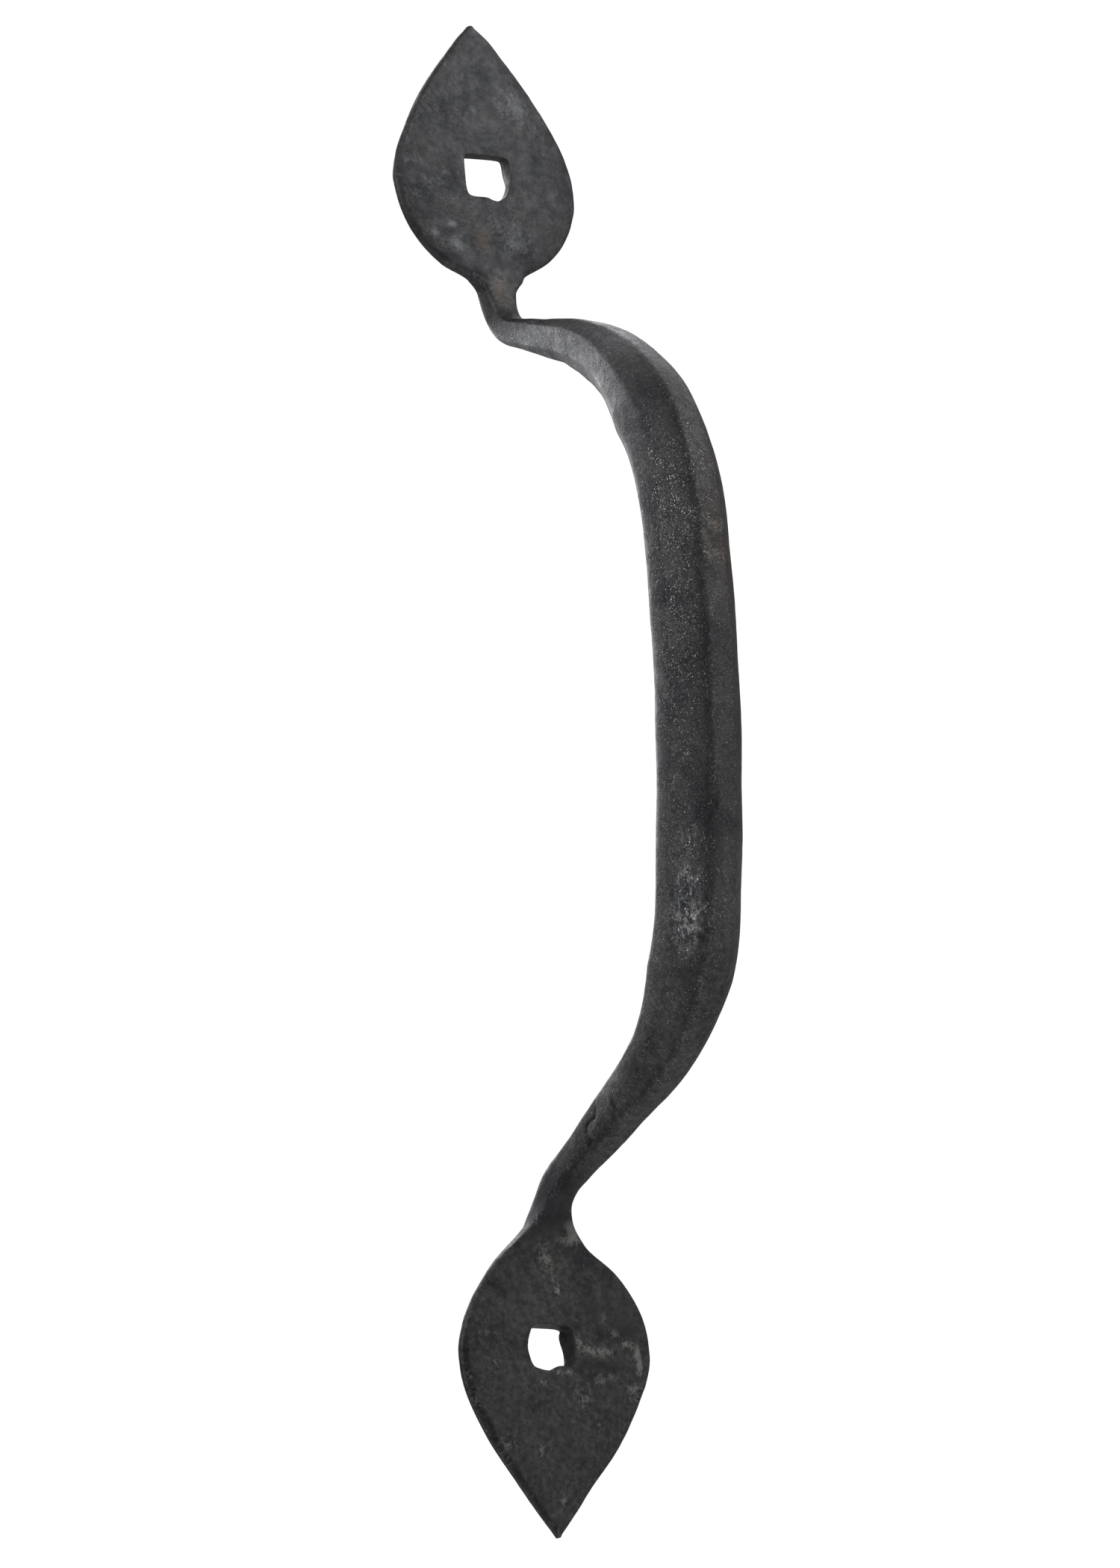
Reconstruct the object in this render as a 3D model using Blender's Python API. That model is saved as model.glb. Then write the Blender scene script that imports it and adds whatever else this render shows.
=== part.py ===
"""Forged pull handle for a cabinet door or a drawer, in metres, +Z up.

One bar of black iron. Its ends are hammered out into flat pointed leaves that lie
on the door, each with a square nail hole punched through it. Between them the bar
bends off the door at two sharp elbows, swells along two arms and runs over two wide
shoulders into a long grip with eight hammered flats.

The door's face is the plane Y = 0 and the grip stands off it towards -Y.
"""

import math
from collections import namedtuple

import bmesh
import bpy
from mathutils import Vector

# Sizes of the whole handle
HOLE_SPACING = 0.2226
MOUNT_ABOVE_HOLE = 0.012

# Upper leaf: its length runs from the tip to where the neck begins
UPPER_LEAF_LENGTH = 0.0532
UPPER_LEAF_WIDTH = 0.0411
UPPER_TIP_ABOVE_HOLE = 0.0307

# Lower leaf
LOWER_LEAF_LENGTH = 0.0576
LOWER_LEAF_WIDTH = 0.0421
LOWER_TIP_BELOW_HOLE = 0.0343

# Both leaves: the front is crowned, so that the rims are thinner than the middle
LEAF_THICKNESS = 0.0032
LEAF_CROWN = 0.0015
CROWN_SLOPE = 0.085
TIP_THICKNESS = 0.0014
FRONT_BEVEL_WIDTH = 0.0006
FRONT_BEVEL_DEPTH = 0.0005
BACK_BEVEL = 0.0004

# Elbows, where the bar leaves the door
UPPER_ELBOW_BELOW_HOLE = 0.0298
LOWER_ELBOW_ABOVE_HOLE = 0.0284
ELBOW_RADIUS = 0.0093
UPPER_NECK_WIDTH = 0.0057
UPPER_NECK_THICKNESS = 0.0049
UPPER_NECK_LEAN = 0.0015
LOWER_NECK_WIDTH = 0.0059
LOWER_NECK_THICKNESS = 0.0055
LOWER_NECK_LEAN = 0.0015

# Arms and shoulders: corners of the bar's centre line before they are rounded
UPPER_SHOULDER_PROJECTION = 0.0551
UPPER_SHOULDER_DROP = 0.0208
UPPER_SHOULDER_RADIUS = 0.0520
LOWER_SHOULDER_PROJECTION = 0.0514
LOWER_SHOULDER_RISE = 0.0223
LOWER_SHOULDER_RADIUS = 0.0341
ARM_TAPER_LENGTH = 0.0564
ARM_OCTAGON_LENGTH = 0.042
ARM_MIDDLE_WIDTH = 0.0099
ARM_MIDDLE_THICKNESS = 0.0096

# Grip: the corner of its bow lies a little below the middle of the hole spacing
GRIP_PROJECTION = 0.0585
GRIP_BOW_DROP = 0.005
GRIP_BOW_RADIUS = 0.350
GRIP_WIDTH = 0.0159
GRIP_DEPTH = 0.0159
GRIP_FLAT_BEVEL = 0.0053
ROUNDED_SHARE = 0.45
HAMMER_DEPTH = 0.0003
HAMMER_PITCH = 0.021

# Nail holes: width and height of the punched opening
UPPER_HOLE_WIDTH = 0.0100
UPPER_HOLE_HEIGHT = 0.0079
LOWER_HOLE_WIDTH = 0.0096
LOWER_HOLE_HEIGHT = 0.0082

# Black iron: colour, roughness and metallic value
IRON_COLOUR = (0.045, 0.047, 0.051, 1.0)
IRON_ROUGHNESS = 0.55
IRON_METALLIC = 0.9

# Leaf outlines from the tip to the neck, each row with the share of the leaf's length,
# the share of its half width and how far the centre leans towards +X, in half widths
UPPER_LEAF_OUTLINE = (
    (0.00, 0.020, -0.042),
    (0.045, 0.161, -0.010),
    (0.12, 0.329, -0.000),
    (0.20, 0.498, 0.007),
    (0.31, 0.703, 0.022),
    (0.42, 0.869, 0.044),
    (0.53, 0.974, 0.034),
    (0.61, 1.000, 0.019),
    (0.69, 0.956, 0.011),
    (0.76, 0.875, 0.000),
    (0.84, 0.709, -0.018),
    (0.91, 0.452, -0.043),
    (0.95, 0.270, 0.055),
)
LOWER_LEAF_OUTLINE = (
    (0.00, 0.010, 0.036),
    (0.06, 0.154, 0.026),
    (0.16, 0.372, 0.017),
    (0.30, 0.679, 0.028),
    (0.44, 0.898, 0.047),
    (0.52, 0.975, 0.076),
    (0.58, 1.000, 0.097),
    (0.65, 0.973, 0.118),
    (0.72, 0.907, 0.138),
    (0.79, 0.790, 0.146),
    (0.86, 0.624, 0.126),
    (0.93, 0.365, 0.063),
)

# Punched outlines, in half widths and half heights of the hole. The front edge is the
# punch's, and the back edge is where the metal tore.
UPPER_HOLE_FRONT = (
    (-0.94, 1.06), (0.82, 1.18), (0.98, 0.98), (1.02, 0.30), (0.93, -0.34), (0.70, -0.86),
    (0.36, -1.12), (0.12, -1.10), (-0.12, -1.00), (-0.84, -1.08), (-1.04, -0.86), (-1.10, 0.88),
)
UPPER_HOLE_BACK = (
    (-1.00, 1.04), (0.88, 1.28), (1.02, 1.14), (1.09, 0.44), (1.27, -0.22), (1.10, -0.80),
    (0.60, -1.16), (0.20, -1.14), (-0.12, -1.08), (-0.84, -1.16), (-1.10, -0.90), (-1.14, 0.90),
)
LOWER_HOLE_FRONT = (
    (-0.78, 0.98), (0.94, 1.03), (0.98, 0.30), (1.00, -0.90), (0.62, -0.78), (0.14, -0.84),
    (-0.14, -1.08), (-0.54, -1.05), (-0.95, -0.92), (-1.15, -0.14), (-1.08, 0.30), (-0.92, 0.78),
)
LOWER_HOLE_BACK = (
    (-0.82, 0.93), (0.86, 1.00), (0.73, 0.62), (0.94, -0.08), (0.95, -0.66), (0.66, -0.92),
    (0.10, -1.00), (-0.20, -1.18), (-0.62, -1.16), (-1.00, -1.02), (-1.22, -0.14), (-1.00, 0.74),
)

# How finely the bar is drawn
POINTS_PER_SIDE = 3
FRONT_SIDE = 3
LEAF_ROWS = 24
TIP_ROWS = (0.0, 0.15, 0.4, 0.7)
TIP_ROWS_LENGTH = 0.0052
BAR_STEP = 0.0032
BEND_STEP_ANGLE = math.radians(8)
PUNCH_CLEARANCE = 0.002


def clear_scene():
    """Remove the objects that a new file starts with."""
    for item in list(bpy.data.objects):
        bpy.data.objects.remove(item, do_unlink=True)


def curve_slope(points, index):
    """Return a slope at one point that keeps the curve from swinging past its points."""
    secants = []
    for start, end in zip(points[max(index - 1, 0):index + 1], points[max(index, 1):index + 2]):
        secants.append((end[1] - start[1]) / (end[0] - start[0]))
    if len(secants) == 1:
        return secants[0]
    before, after = secants
    if before * after <= 0:
        return 0.0
    return 2 * before * after / (before + after)


def smooth_value(points, at):
    """Read a smooth curve through (place, value) points, held level past its ends."""
    if at <= points[0][0]:
        return points[0][1]
    if at >= points[-1][0]:
        return points[-1][1]
    index = 0
    while points[index + 1][0] < at:
        index += 1
    slopes = (curve_slope(points, index), curve_slope(points, index + 1))
    start, end = points[index], points[index + 1]
    span = end[0] - start[0]
    t = (at - start[0]) / span
    rise = end[1] - start[1]
    blend = t * t * (3 - 2 * t)
    lead = t * (1 - t) * (1 - t) * slopes[0] * span
    trail = t * t * (1 - t) * slopes[1] * span
    return start[1] + rise * blend + lead - trail


Piece = namedtuple("Piece", "begins length start ahead curvature")


class BarPath:
    """Centre line of the bar in the plane X = 0: straight runs and rounded corners."""

    def __init__(self, corners, radii):
        self.pieces = []
        self.length = 0.0
        here = Vector(corners[0])
        for index, radius in enumerate(radii):
            before, corner, after = (Vector(corners[index + k]) for k in range(3))
            ahead = (corner - before).normalized()
            away = (after - corner).normalized()
            turn = ahead.angle(away)
            side = 1.0 if ahead.x * away.y - ahead.y * away.x > 0 else -1.0
            # A bend takes no more of the bar than lies before it and half of what follows
            room = min((corner - here).length, 0.5 * (after - corner).length)
            cut_back = min(radius * math.tan(turn / 2), room)
            fitted = cut_back / math.tan(turn / 2)
            bend_start = corner - ahead * cut_back
            self.add(here, ahead, (bend_start - here).length, 0.0)
            self.add(bend_start, ahead, fitted * turn, side / fitted)
            here = corner + away * cut_back
        last = Vector(corners[-1])
        self.add(here, (last - here).normalized(), (last - here).length, 0.0)

    def add(self, start, ahead, length, curvature):
        self.pieces.append(Piece(self.length, length, start, ahead, curvature))
        self.length += length

    def at(self, distance):
        """Return the place and the outward direction at a distance from the upper tip."""
        piece = [each for each in self.pieces if each.begins <= distance][-1]
        along = distance - piece.begins
        sideways = Vector((-piece.ahead.y, piece.ahead.x))
        turn = along * piece.curvature
        heading = piece.ahead * math.cos(turn) + sideways * math.sin(turn)
        place = piece.start + piece.ahead * along
        if turn:
            arc = piece.ahead * math.sin(turn) + sideways * (1 - math.cos(turn))
            place = piece.start + arc / piece.curvature
        outward = Vector((heading.y, -heading.x))
        return place, outward


class End:
    """Sizes of one end of the bar, read by the distance from its tip.

    Backs and fronts are the reach of the section from the bar's centre line, towards the
    door and away from it. In the leaf the back stays on the door's face.
    """

    def __init__(self, outline, leaf_length, leaf_width, neck_width, neck_thickness, neck_lean, elbow):
        half = leaf_width / 2
        path_back = neck_thickness / 2
        neck_half = neck_width / 2
        taper_end = elbow + ARM_TAPER_LENGTH
        self.half_widths = [(row[0] * leaf_length, row[1] * half) for row in outline]
        self.half_widths.append((leaf_length, max(neck_half * 1.25, outline[-1][1] * half * 0.55)))
        self.half_widths.append((elbow, neck_half))
        self.half_widths.append((elbow + ARM_TAPER_LENGTH / 2, ARM_MIDDLE_WIDTH / 2))
        self.half_widths.append((taper_end, GRIP_WIDTH / 2))
        self.leans = [(row[0] * leaf_length, row[2] * half) for row in outline]
        self.leans.append((elbow, neck_lean))
        self.leans.append((taper_end, 0.0))
        self.fronts = [
            (0.0, TIP_THICKNESS - path_back),
            (leaf_length * 0.35, LEAF_THICKNESS - path_back),
            (leaf_length * 0.85, LEAF_THICKNESS - path_back),
            (elbow, neck_thickness / 2),
            (elbow + ARM_TAPER_LENGTH / 2, ARM_MIDDLE_THICKNESS / 2),
            (taper_end, GRIP_DEPTH / 2),
        ]
        self.backs = [
            (leaf_length, path_back),
            (elbow, neck_thickness / 2),
            (elbow + ARM_TAPER_LENGTH / 2, ARM_MIDDLE_THICKNESS / 2),
            (taper_end, GRIP_DEPTH / 2),
        ]
        # How far the section has turned from a flat leaf into the grip's octagon
        self.bar_share = [(leaf_length * 0.95, 0.0), (elbow + ARM_OCTAGON_LENGTH, 1.0)]

    def section(self, distance):
        """Return left, right, back, front, bevels, crown and roundness of the section there."""
        half = smooth_value(self.half_widths, distance)
        lean = smooth_value(self.leans, distance)
        back = smooth_value(self.backs, distance)
        share = smooth_value(self.bar_share, distance)
        crown = min(LEAF_CROWN, CROWN_SLOPE * half) * (1 - share)
        front = smooth_value(self.fronts, distance) - crown
        grip_bevel = GRIP_FLAT_BEVEL * (back + front) / GRIP_DEPTH
        narrowing = half / (half + FRONT_BEVEL_WIDTH)
        front_across = FRONT_BEVEL_WIDTH * narrowing
        back_across = BACK_BEVEL * narrowing
        front_deep = min(FRONT_BEVEL_DEPTH, 0.4 * (back + front))
        return (
            half - lean,
            half + lean,
            back,
            front,
            back_across * (1 - share) + grip_bevel * share,
            front_across * (1 - share) + grip_bevel * share,
            front_deep * (1 - share) + grip_bevel * share,
            crown,
            share,
        )


def ring_points(section, swell):
    """Return the outline of one section as (across, outward) pairs."""
    left, right, back, front, back_bevel, across, deep, crown, share = section
    corners = (
        (right - back_bevel, -back),
        (right, back_bevel - back),
        (right, front - deep),
        (right - across, front),
        (across - left, front),
        (-left, front - deep),
        (-left, back_bevel - back),
        (back_bevel - left, -back),
    )
    points = []
    for index, corner in enumerate(corners):
        following = corners[(index + 1) % len(corners)]
        rise = crown if index == FRONT_SIDE else 0.0
        for step in range(POINTS_PER_SIDE):
            t = step / POINTS_PER_SIDE
            points.append((
                corner[0] + (following[0] - corner[0]) * t,
                corner[1] + (following[1] - corner[1]) * t + rise * 4 * t * (1 - t),
            ))
    centre = Vector(((right - left) / 2, (front - back) / 2))
    reach = Vector(((right + left) / 2, (front + back) / 2))
    rounded = []
    for point in points:
        arm = Vector(point) - centre
        oval = 1 / math.hypot(arm.x / reach.x, arm.y / reach.y)
        scale = 1 + share * (ROUNDED_SHARE * (oval - 1) - swell(math.atan2(arm.y, arm.x)) / arm.length)
        rounded.append(centre + arm * scale)
    return rounded


def spaced(start, end, count):
    """Return evenly spaced distances from start up to, not including, end."""
    return [start + (end - start) * k / count for k in range(count)]


def bar_stations(path, upper_leaf, lower_leaf):
    """Return the distances along the bar where it has a section."""
    tip_rows = [row * TIP_ROWS_LENGTH for row in TIP_ROWS]
    first_bend = path.pieces[1]
    last_bend = path.pieces[-2]
    stations = list(tip_rows)
    stations += spaced(TIP_ROWS_LENGTH, upper_leaf, LEAF_ROWS)
    stations += spaced(upper_leaf, first_bend.begins, 3)
    for piece in path.pieces[1:-1]:
        rows = max(piece.length / BAR_STEP, abs(piece.curvature) * piece.length / BEND_STEP_ANGLE)
        stations += spaced(piece.begins, piece.begins + piece.length, math.ceil(rows))
    stations += spaced(last_bend.begins + last_bend.length, path.length - lower_leaf, 3)
    stations += spaced(path.length - lower_leaf, path.length - TIP_ROWS_LENGTH, LEAF_ROWS)
    stations += [path.length - row for row in reversed(tip_rows)]
    return stations


def build_bar(material):
    """Loft the whole handle through its sections, from the upper tip to the lower one."""
    hole_up = HOLE_SPACING / 2
    door_upper = -UPPER_NECK_THICKNESS / 2
    door_lower = -LOWER_NECK_THICKNESS / 2
    upper_tip = hole_up + UPPER_TIP_ABOVE_HOLE
    lower_tip = -hole_up - LOWER_TIP_BELOW_HOLE
    upper_elbow = hole_up - UPPER_ELBOW_BELOW_HOLE
    lower_elbow = -hole_up + LOWER_ELBOW_ABOVE_HOLE
    corners = (
        (door_upper, upper_tip),
        (door_upper, upper_elbow),
        (-UPPER_SHOULDER_PROJECTION, upper_elbow - UPPER_SHOULDER_DROP),
        (-GRIP_PROJECTION, -GRIP_BOW_DROP),
        (-LOWER_SHOULDER_PROJECTION, lower_elbow + LOWER_SHOULDER_RISE),
        (door_lower, lower_elbow),
        (door_lower, lower_tip),
    )
    radii = (
        ELBOW_RADIUS,
        UPPER_SHOULDER_RADIUS,
        GRIP_BOW_RADIUS,
        LOWER_SHOULDER_RADIUS,
        ELBOW_RADIUS,
    )
    path = BarPath(corners, radii)
    upper_bend = path.pieces[1]
    lower_bend = path.pieces[-2]
    upper = End(
        UPPER_LEAF_OUTLINE, UPPER_LEAF_LENGTH, UPPER_LEAF_WIDTH, UPPER_NECK_WIDTH,
        UPPER_NECK_THICKNESS, UPPER_NECK_LEAN, upper_bend.begins + upper_bend.length / 2,
    )
    lower = End(
        LOWER_LEAF_OUTLINE, LOWER_LEAF_LENGTH, LOWER_LEAF_WIDTH, LOWER_NECK_WIDTH,
        LOWER_NECK_THICKNESS, LOWER_NECK_LEAN, path.length - lower_bend.begins - lower_bend.length / 2,
    )

    mesh = bpy.data.meshes.new("forged_handle")
    bm = bmesh.new()
    rings = []
    for distance in bar_stations(path, UPPER_LEAF_LENGTH, LOWER_LEAF_LENGTH):
        from_end = path.length - distance
        section = upper.section(distance) if distance < from_end else lower.section(from_end)
        place, outward = path.at(distance)

        def swell(around):
            wave = math.sin(math.tau * distance / HAMMER_PITCH + 2.3 * math.sin(2 * around))
            return HAMMER_DEPTH * (1 + wave) / 2

        ring = []
        for across, out in ring_points(section, swell):
            ring.append(bm.verts.new((across, place.x + outward.x * out, place.y + outward.y * out)))
        rings.append(ring)
    for ring, following in zip(rings, rings[1:]):
        for index in range(len(ring)):
            after = (index + 1) % len(ring)
            bm.faces.new((ring[index], ring[after], following[after], following[index]))
    bm.faces.new(list(reversed(rings[0])))
    bm.faces.new(rings[-1])
    bmesh.ops.recalc_face_normals(bm, faces=bm.faces)
    bm.to_mesh(mesh)
    bm.free()
    mesh.materials.append(material)
    mesh.shade_smooth()
    mesh.set_sharp_from_angle(angle=math.radians(28))

    bar = bpy.data.objects.new("forged_handle", mesh)
    bpy.context.collection.objects.link(bar)
    return bar


def hole_cutter(name, front, back, width, height, centre_z):
    """Return a hidden punch that tapers from the hole's front edge to its back edge."""
    planes = (
        (-LEAF_THICKNESS - PUNCH_CLEARANCE, front),
        (-LEAF_THICKNESS, front),
        (0.0, back),
        (PUNCH_CLEARANCE, back),
    )
    mesh = bpy.data.meshes.new(name)
    bm = bmesh.new()
    rings = []
    for y, outline in planes:
        rings.append([
            bm.verts.new((x * width / 2, y, centre_z + z * height / 2)) for x, z in outline
        ])
    for ring, following in zip(rings, rings[1:]):
        for index in range(len(ring)):
            after = (index + 1) % len(ring)
            bm.faces.new((ring[index], ring[after], following[after], following[index]))
    bm.faces.new(list(reversed(rings[0])))
    bm.faces.new(rings[-1])
    bmesh.ops.recalc_face_normals(bm, faces=bm.faces)
    bm.to_mesh(mesh)
    bm.free()
    cutter = bpy.data.objects.new(name, mesh)
    cutter.hide_render = True
    cutter.display_type = "WIRE"
    bpy.context.collection.objects.link(cutter)
    return cutter


def cut(target, cutter):
    """Punch the cutter's shape out of the target."""
    modifier = target.modifiers.new(cutter.name, "BOOLEAN")
    modifier.operation = "DIFFERENCE"
    modifier.solver = "EXACT"
    modifier.object = cutter


def black_iron():
    """Return the dark oiled finish of the forged bar."""
    material = bpy.data.materials.new("black_iron")
    material.use_nodes = True
    shader = material.node_tree.nodes["Principled BSDF"]
    shader.inputs["Base Color"].default_value = IRON_COLOUR
    shader.inputs["Roughness"].default_value = IRON_ROUGHNESS
    shader.inputs["Metallic"].default_value = IRON_METALLIC
    material.diffuse_color = IRON_COLOUR
    return material


def main():
    clear_scene()
    bar = build_bar(black_iron())
    punches = (
        hole_cutter(
            "upper_nail_punch", UPPER_HOLE_FRONT, UPPER_HOLE_BACK,
            UPPER_HOLE_WIDTH, UPPER_HOLE_HEIGHT, HOLE_SPACING / 2,
        ),
        hole_cutter(
            "lower_nail_punch", LOWER_HOLE_FRONT, LOWER_HOLE_BACK,
            LOWER_HOLE_WIDTH, LOWER_HOLE_HEIGHT, -HOLE_SPACING / 2,
        ),
    )
    # The world's origin is on the upper leaf's back, above its hole
    origin = bpy.data.objects.new("door_fixing", None)
    origin.location = (0.0, 0.0, -HOLE_SPACING / 2 - MOUNT_ABOVE_HOLE)
    bpy.context.collection.objects.link(origin)
    bar.parent = origin
    for punch in punches:
        punch.parent = origin
        cut(bar, punch)


main()
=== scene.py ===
"""Studio scene of a forged iron pull handle, laid out as an add-on, in metres.

The handle is one bar of black iron. Its ends are hammered into pointed leaves that lie
on the door's plane, Y = 0, and its grip stands off towards -Y. The finished bar is
lofted more finely than the CAD solid, with hammered flats, dents, pits and scale.
"""

import math

import bmesh
import bpy
import numpy as np
from bpy.props import FloatProperty, FloatVectorProperty, PointerProperty
from mathutils import Matrix, Vector, noise


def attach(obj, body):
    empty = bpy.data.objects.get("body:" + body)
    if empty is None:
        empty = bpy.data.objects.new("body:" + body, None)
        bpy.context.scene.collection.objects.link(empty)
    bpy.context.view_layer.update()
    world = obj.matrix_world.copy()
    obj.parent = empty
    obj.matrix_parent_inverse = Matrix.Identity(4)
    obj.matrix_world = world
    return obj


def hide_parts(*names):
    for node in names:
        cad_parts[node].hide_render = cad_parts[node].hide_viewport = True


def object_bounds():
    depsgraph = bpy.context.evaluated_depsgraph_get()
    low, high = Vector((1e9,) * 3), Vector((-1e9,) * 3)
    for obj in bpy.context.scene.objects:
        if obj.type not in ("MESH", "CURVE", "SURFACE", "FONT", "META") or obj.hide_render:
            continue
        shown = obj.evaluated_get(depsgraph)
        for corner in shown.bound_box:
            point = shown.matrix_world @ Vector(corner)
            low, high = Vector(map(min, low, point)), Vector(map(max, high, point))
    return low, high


bl_info = {
    "name": "Forged Pull Handle",
    "version": (1, 0, 0),
    "blender": (4, 5, 0),
    "location": "3D View > Sidebar > Pull Handle",
    "description": "Builds a hammered iron pull handle and the pale studio it is shown in",
    "category": "Object",
}

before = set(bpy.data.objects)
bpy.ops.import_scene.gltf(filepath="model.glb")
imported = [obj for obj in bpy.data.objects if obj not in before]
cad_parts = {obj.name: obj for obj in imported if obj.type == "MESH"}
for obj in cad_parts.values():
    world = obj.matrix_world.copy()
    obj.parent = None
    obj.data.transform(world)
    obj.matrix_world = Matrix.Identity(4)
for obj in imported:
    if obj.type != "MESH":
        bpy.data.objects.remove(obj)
CAD_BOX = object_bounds()

MM = 0.001

# Leaf outlines from the tip to the neck: share of the length, share of the half width,
# and lean of the centre towards +X in half widths
UPPER_LEAF_OUTLINE = (
    (0.0, 0.02, -0.042), (0.045, 0.161, -0.01), (0.12, 0.329, 0.0), (0.2, 0.498, 0.007),
    (0.31, 0.703, 0.022), (0.42, 0.869, 0.044), (0.53, 0.974, 0.034), (0.61, 1.0, 0.019),
    (0.69, 0.956, 0.011), (0.76, 0.875, 0.0), (0.84, 0.709, -0.018), (0.91, 0.452, -0.043),
    (0.95, 0.27, 0.055),
)
LOWER_LEAF_OUTLINE = (
    (0.0, 0.01, 0.036), (0.06, 0.154, 0.026), (0.16, 0.372, 0.017), (0.3, 0.679, 0.028),
    (0.44, 0.898, 0.047), (0.52, 0.975, 0.076), (0.58, 1.0, 0.097), (0.65, 0.973, 0.118),
    (0.72, 0.907, 0.138), (0.79, 0.79, 0.146), (0.86, 0.624, 0.126), (0.93, 0.365, 0.063),
)

# Punched outlines in half widths and half heights of the hole, at the leaf's front and
# at its back, where the metal tore
UPPER_HOLE_FRONT = (
    (-0.94, 1.06), (0.82, 1.18), (0.98, 0.98), (1.02, 0.30), (0.93, -0.34), (0.70, -0.86),
    (0.36, -1.12), (0.12, -1.10), (-0.12, -1.00), (-0.84, -1.08), (-1.04, -0.86), (-1.10, 0.88),
)
UPPER_HOLE_BACK = (
    (-1.00, 1.04), (0.88, 1.28), (1.02, 1.14), (1.09, 0.44), (1.27, -0.22), (1.10, -0.80),
    (0.60, -1.16), (0.20, -1.14), (-0.12, -1.08), (-0.84, -1.16), (-1.10, -0.90), (-1.14, 0.90),
)
LOWER_HOLE_FRONT = (
    (-0.78, 0.98), (0.94, 1.03), (0.98, 0.30), (1.00, -0.90), (0.62, -0.78), (0.14, -0.84),
    (-0.14, -1.08), (-0.54, -1.05), (-0.95, -0.92), (-1.15, -0.14), (-1.08, 0.30), (-0.92, 0.78),
)
LOWER_HOLE_BACK = (
    (-0.82, 0.93), (0.86, 1.00), (0.73, 0.62), (0.94, -0.08), (0.95, -0.66), (0.66, -0.92),
    (0.10, -1.00), (-0.20, -1.18), (-0.62, -1.16), (-1.00, -1.02), (-1.22, -0.14), (-1.00, 0.74),
)

# Marks on the front of each leaf, in mm from its hole: across, up, radius and height,
# where a height below zero is a dent
UPPER_LEAF_MARKS = (
    (-9.0, -10.9, 1.1, 0.2), (-12.7, -12.9, 1.1, 0.17), (-8.6, -14.8, 2.0, 0.22),
    (-5.6, -12.2, 0.8, 0.1), (-6.6, -9.6, 0.7, 0.08), (3.9, 3.0, 0.6, 0.12),
    (-1.9, 14.4, 0.9, -0.14), (-3.0, 14.6, 1.1, 0.08), (6.4, 15.9, 1.8, 0.07),
    (2.7, 15.2, 1.2, 0.06), (-13.8, 3.6, 1.0, 0.06), (-16.2, -7.4, 1.3, 0.08),
    (-14.9, -3.0, 1.1, 0.06), (5.2, -13.9, 2.0, 0.08), (-3.4, -20.0, 1.2, -0.12),
)
LOWER_LEAF_MARKS = (
    (6.2, 10.5, 1.5, -0.1), (6.2, 10.5, 0.6, 0.08), (12.9, -6.0, 2.0, -0.14),
    (-12.0, -10.6, 1.4, -0.1), (-12.5, -9.6, 1.1, 0.07), (0.8, -4.9, 0.5, 0.12),
    (3.3, -4.7, 0.5, 0.12), (-2.8, -6.5, 0.6, 0.1), (1.6, 10.3, 0.6, 0.1),
    (-12.5, -3.4, 0.6, 0.08), (-1.6, -19.5, 1.8, -0.1), (1.2, -21.4, 1.2, -0.08),
    (-3.8, -27.0, 1.5, -0.07), (8.5, -14.0, 1.6, -0.06), (-13.6, 10.2, 1.8, 0.06),
)

# Stains on the front of each leaf by their kind, in mm from its hole: across, up,
# half width, half height and strength
UPPER_LEAF_STAINS = {
    "pale": (
        (7.4, 15.5, 1.8, 2.3, 1.05), (3.4, 14.5, 0.9, 1.4, 0.8), (11.0, 11.0, 1.6, 2.2, 0.4),
        (-2.7, 13.1, 1.2, 0.9, 0.65), (-11.0, 12.5, 2.2, 1.6, 0.35),
        (-16.6, 1.1, 1.6, 0.6, 0.55), (-13.4, -1.8, 2.0, 0.7, 0.55), (-9.7, -3.1, 0.9, 0.7, 0.5),
        # The pale spots at -9.0, -12.7 and -8.6 across lie on raised bumps: pale scale, made
        # stronger as a painted highlight of the light that the bumps catch
        (-16.0, -5.3, 1.1, 0.9, 0.55), (3.8, 3.3, 0.6, 0.5, 1.0), (-9.0, -10.6, 1.2, 0.7, 1.1),
        (-12.7, -12.6, 1.1, 0.7, 0.9), (-8.6, -14.3, 2.1, 1.3, 1.0), (4.7, -9.5, 4.0, 2.4, 0.42),
        (5.2, -12.8, 3.2, 2.0, 0.48), (0.3, -9.0, 2.0, 1.2, 0.4), (5.0, -22.0, 0.7, 0.6, 0.9),
        (0.6, -20.4, 0.9, 0.7, 0.7), (1.4, -25.6, 0.9, 0.8, 0.6),
    ),
    "brown": (
        (-2.2, -12.7, 1.7, 2.0, 0.95), (0.3, -20.9, 2.6, 2.4, 0.55),
        (1.1, -24.5, 2.4, 2.6, 0.55),
    ),
    "dark": (
        (-1.6, 12.9, 0.7, 0.7, 0.8), (4.6, 1.0, 0.9, 2.0, 0.65), (-0.6, 5.4, 3.2, 0.9, 0.4),
        (0.2, -16.5, 2.6, 1.2, 0.55), (-11.0, -16.9, 2.0, 1.0, 0.8),
        (-8.2, -17.0, 2.2, 0.7, 0.6), (-10.6, -11.9, 1.6, 1.0, 0.45),
        (-14.0, 0.0, 2.6, 0.7, 0.35),
    ),
}
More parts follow.
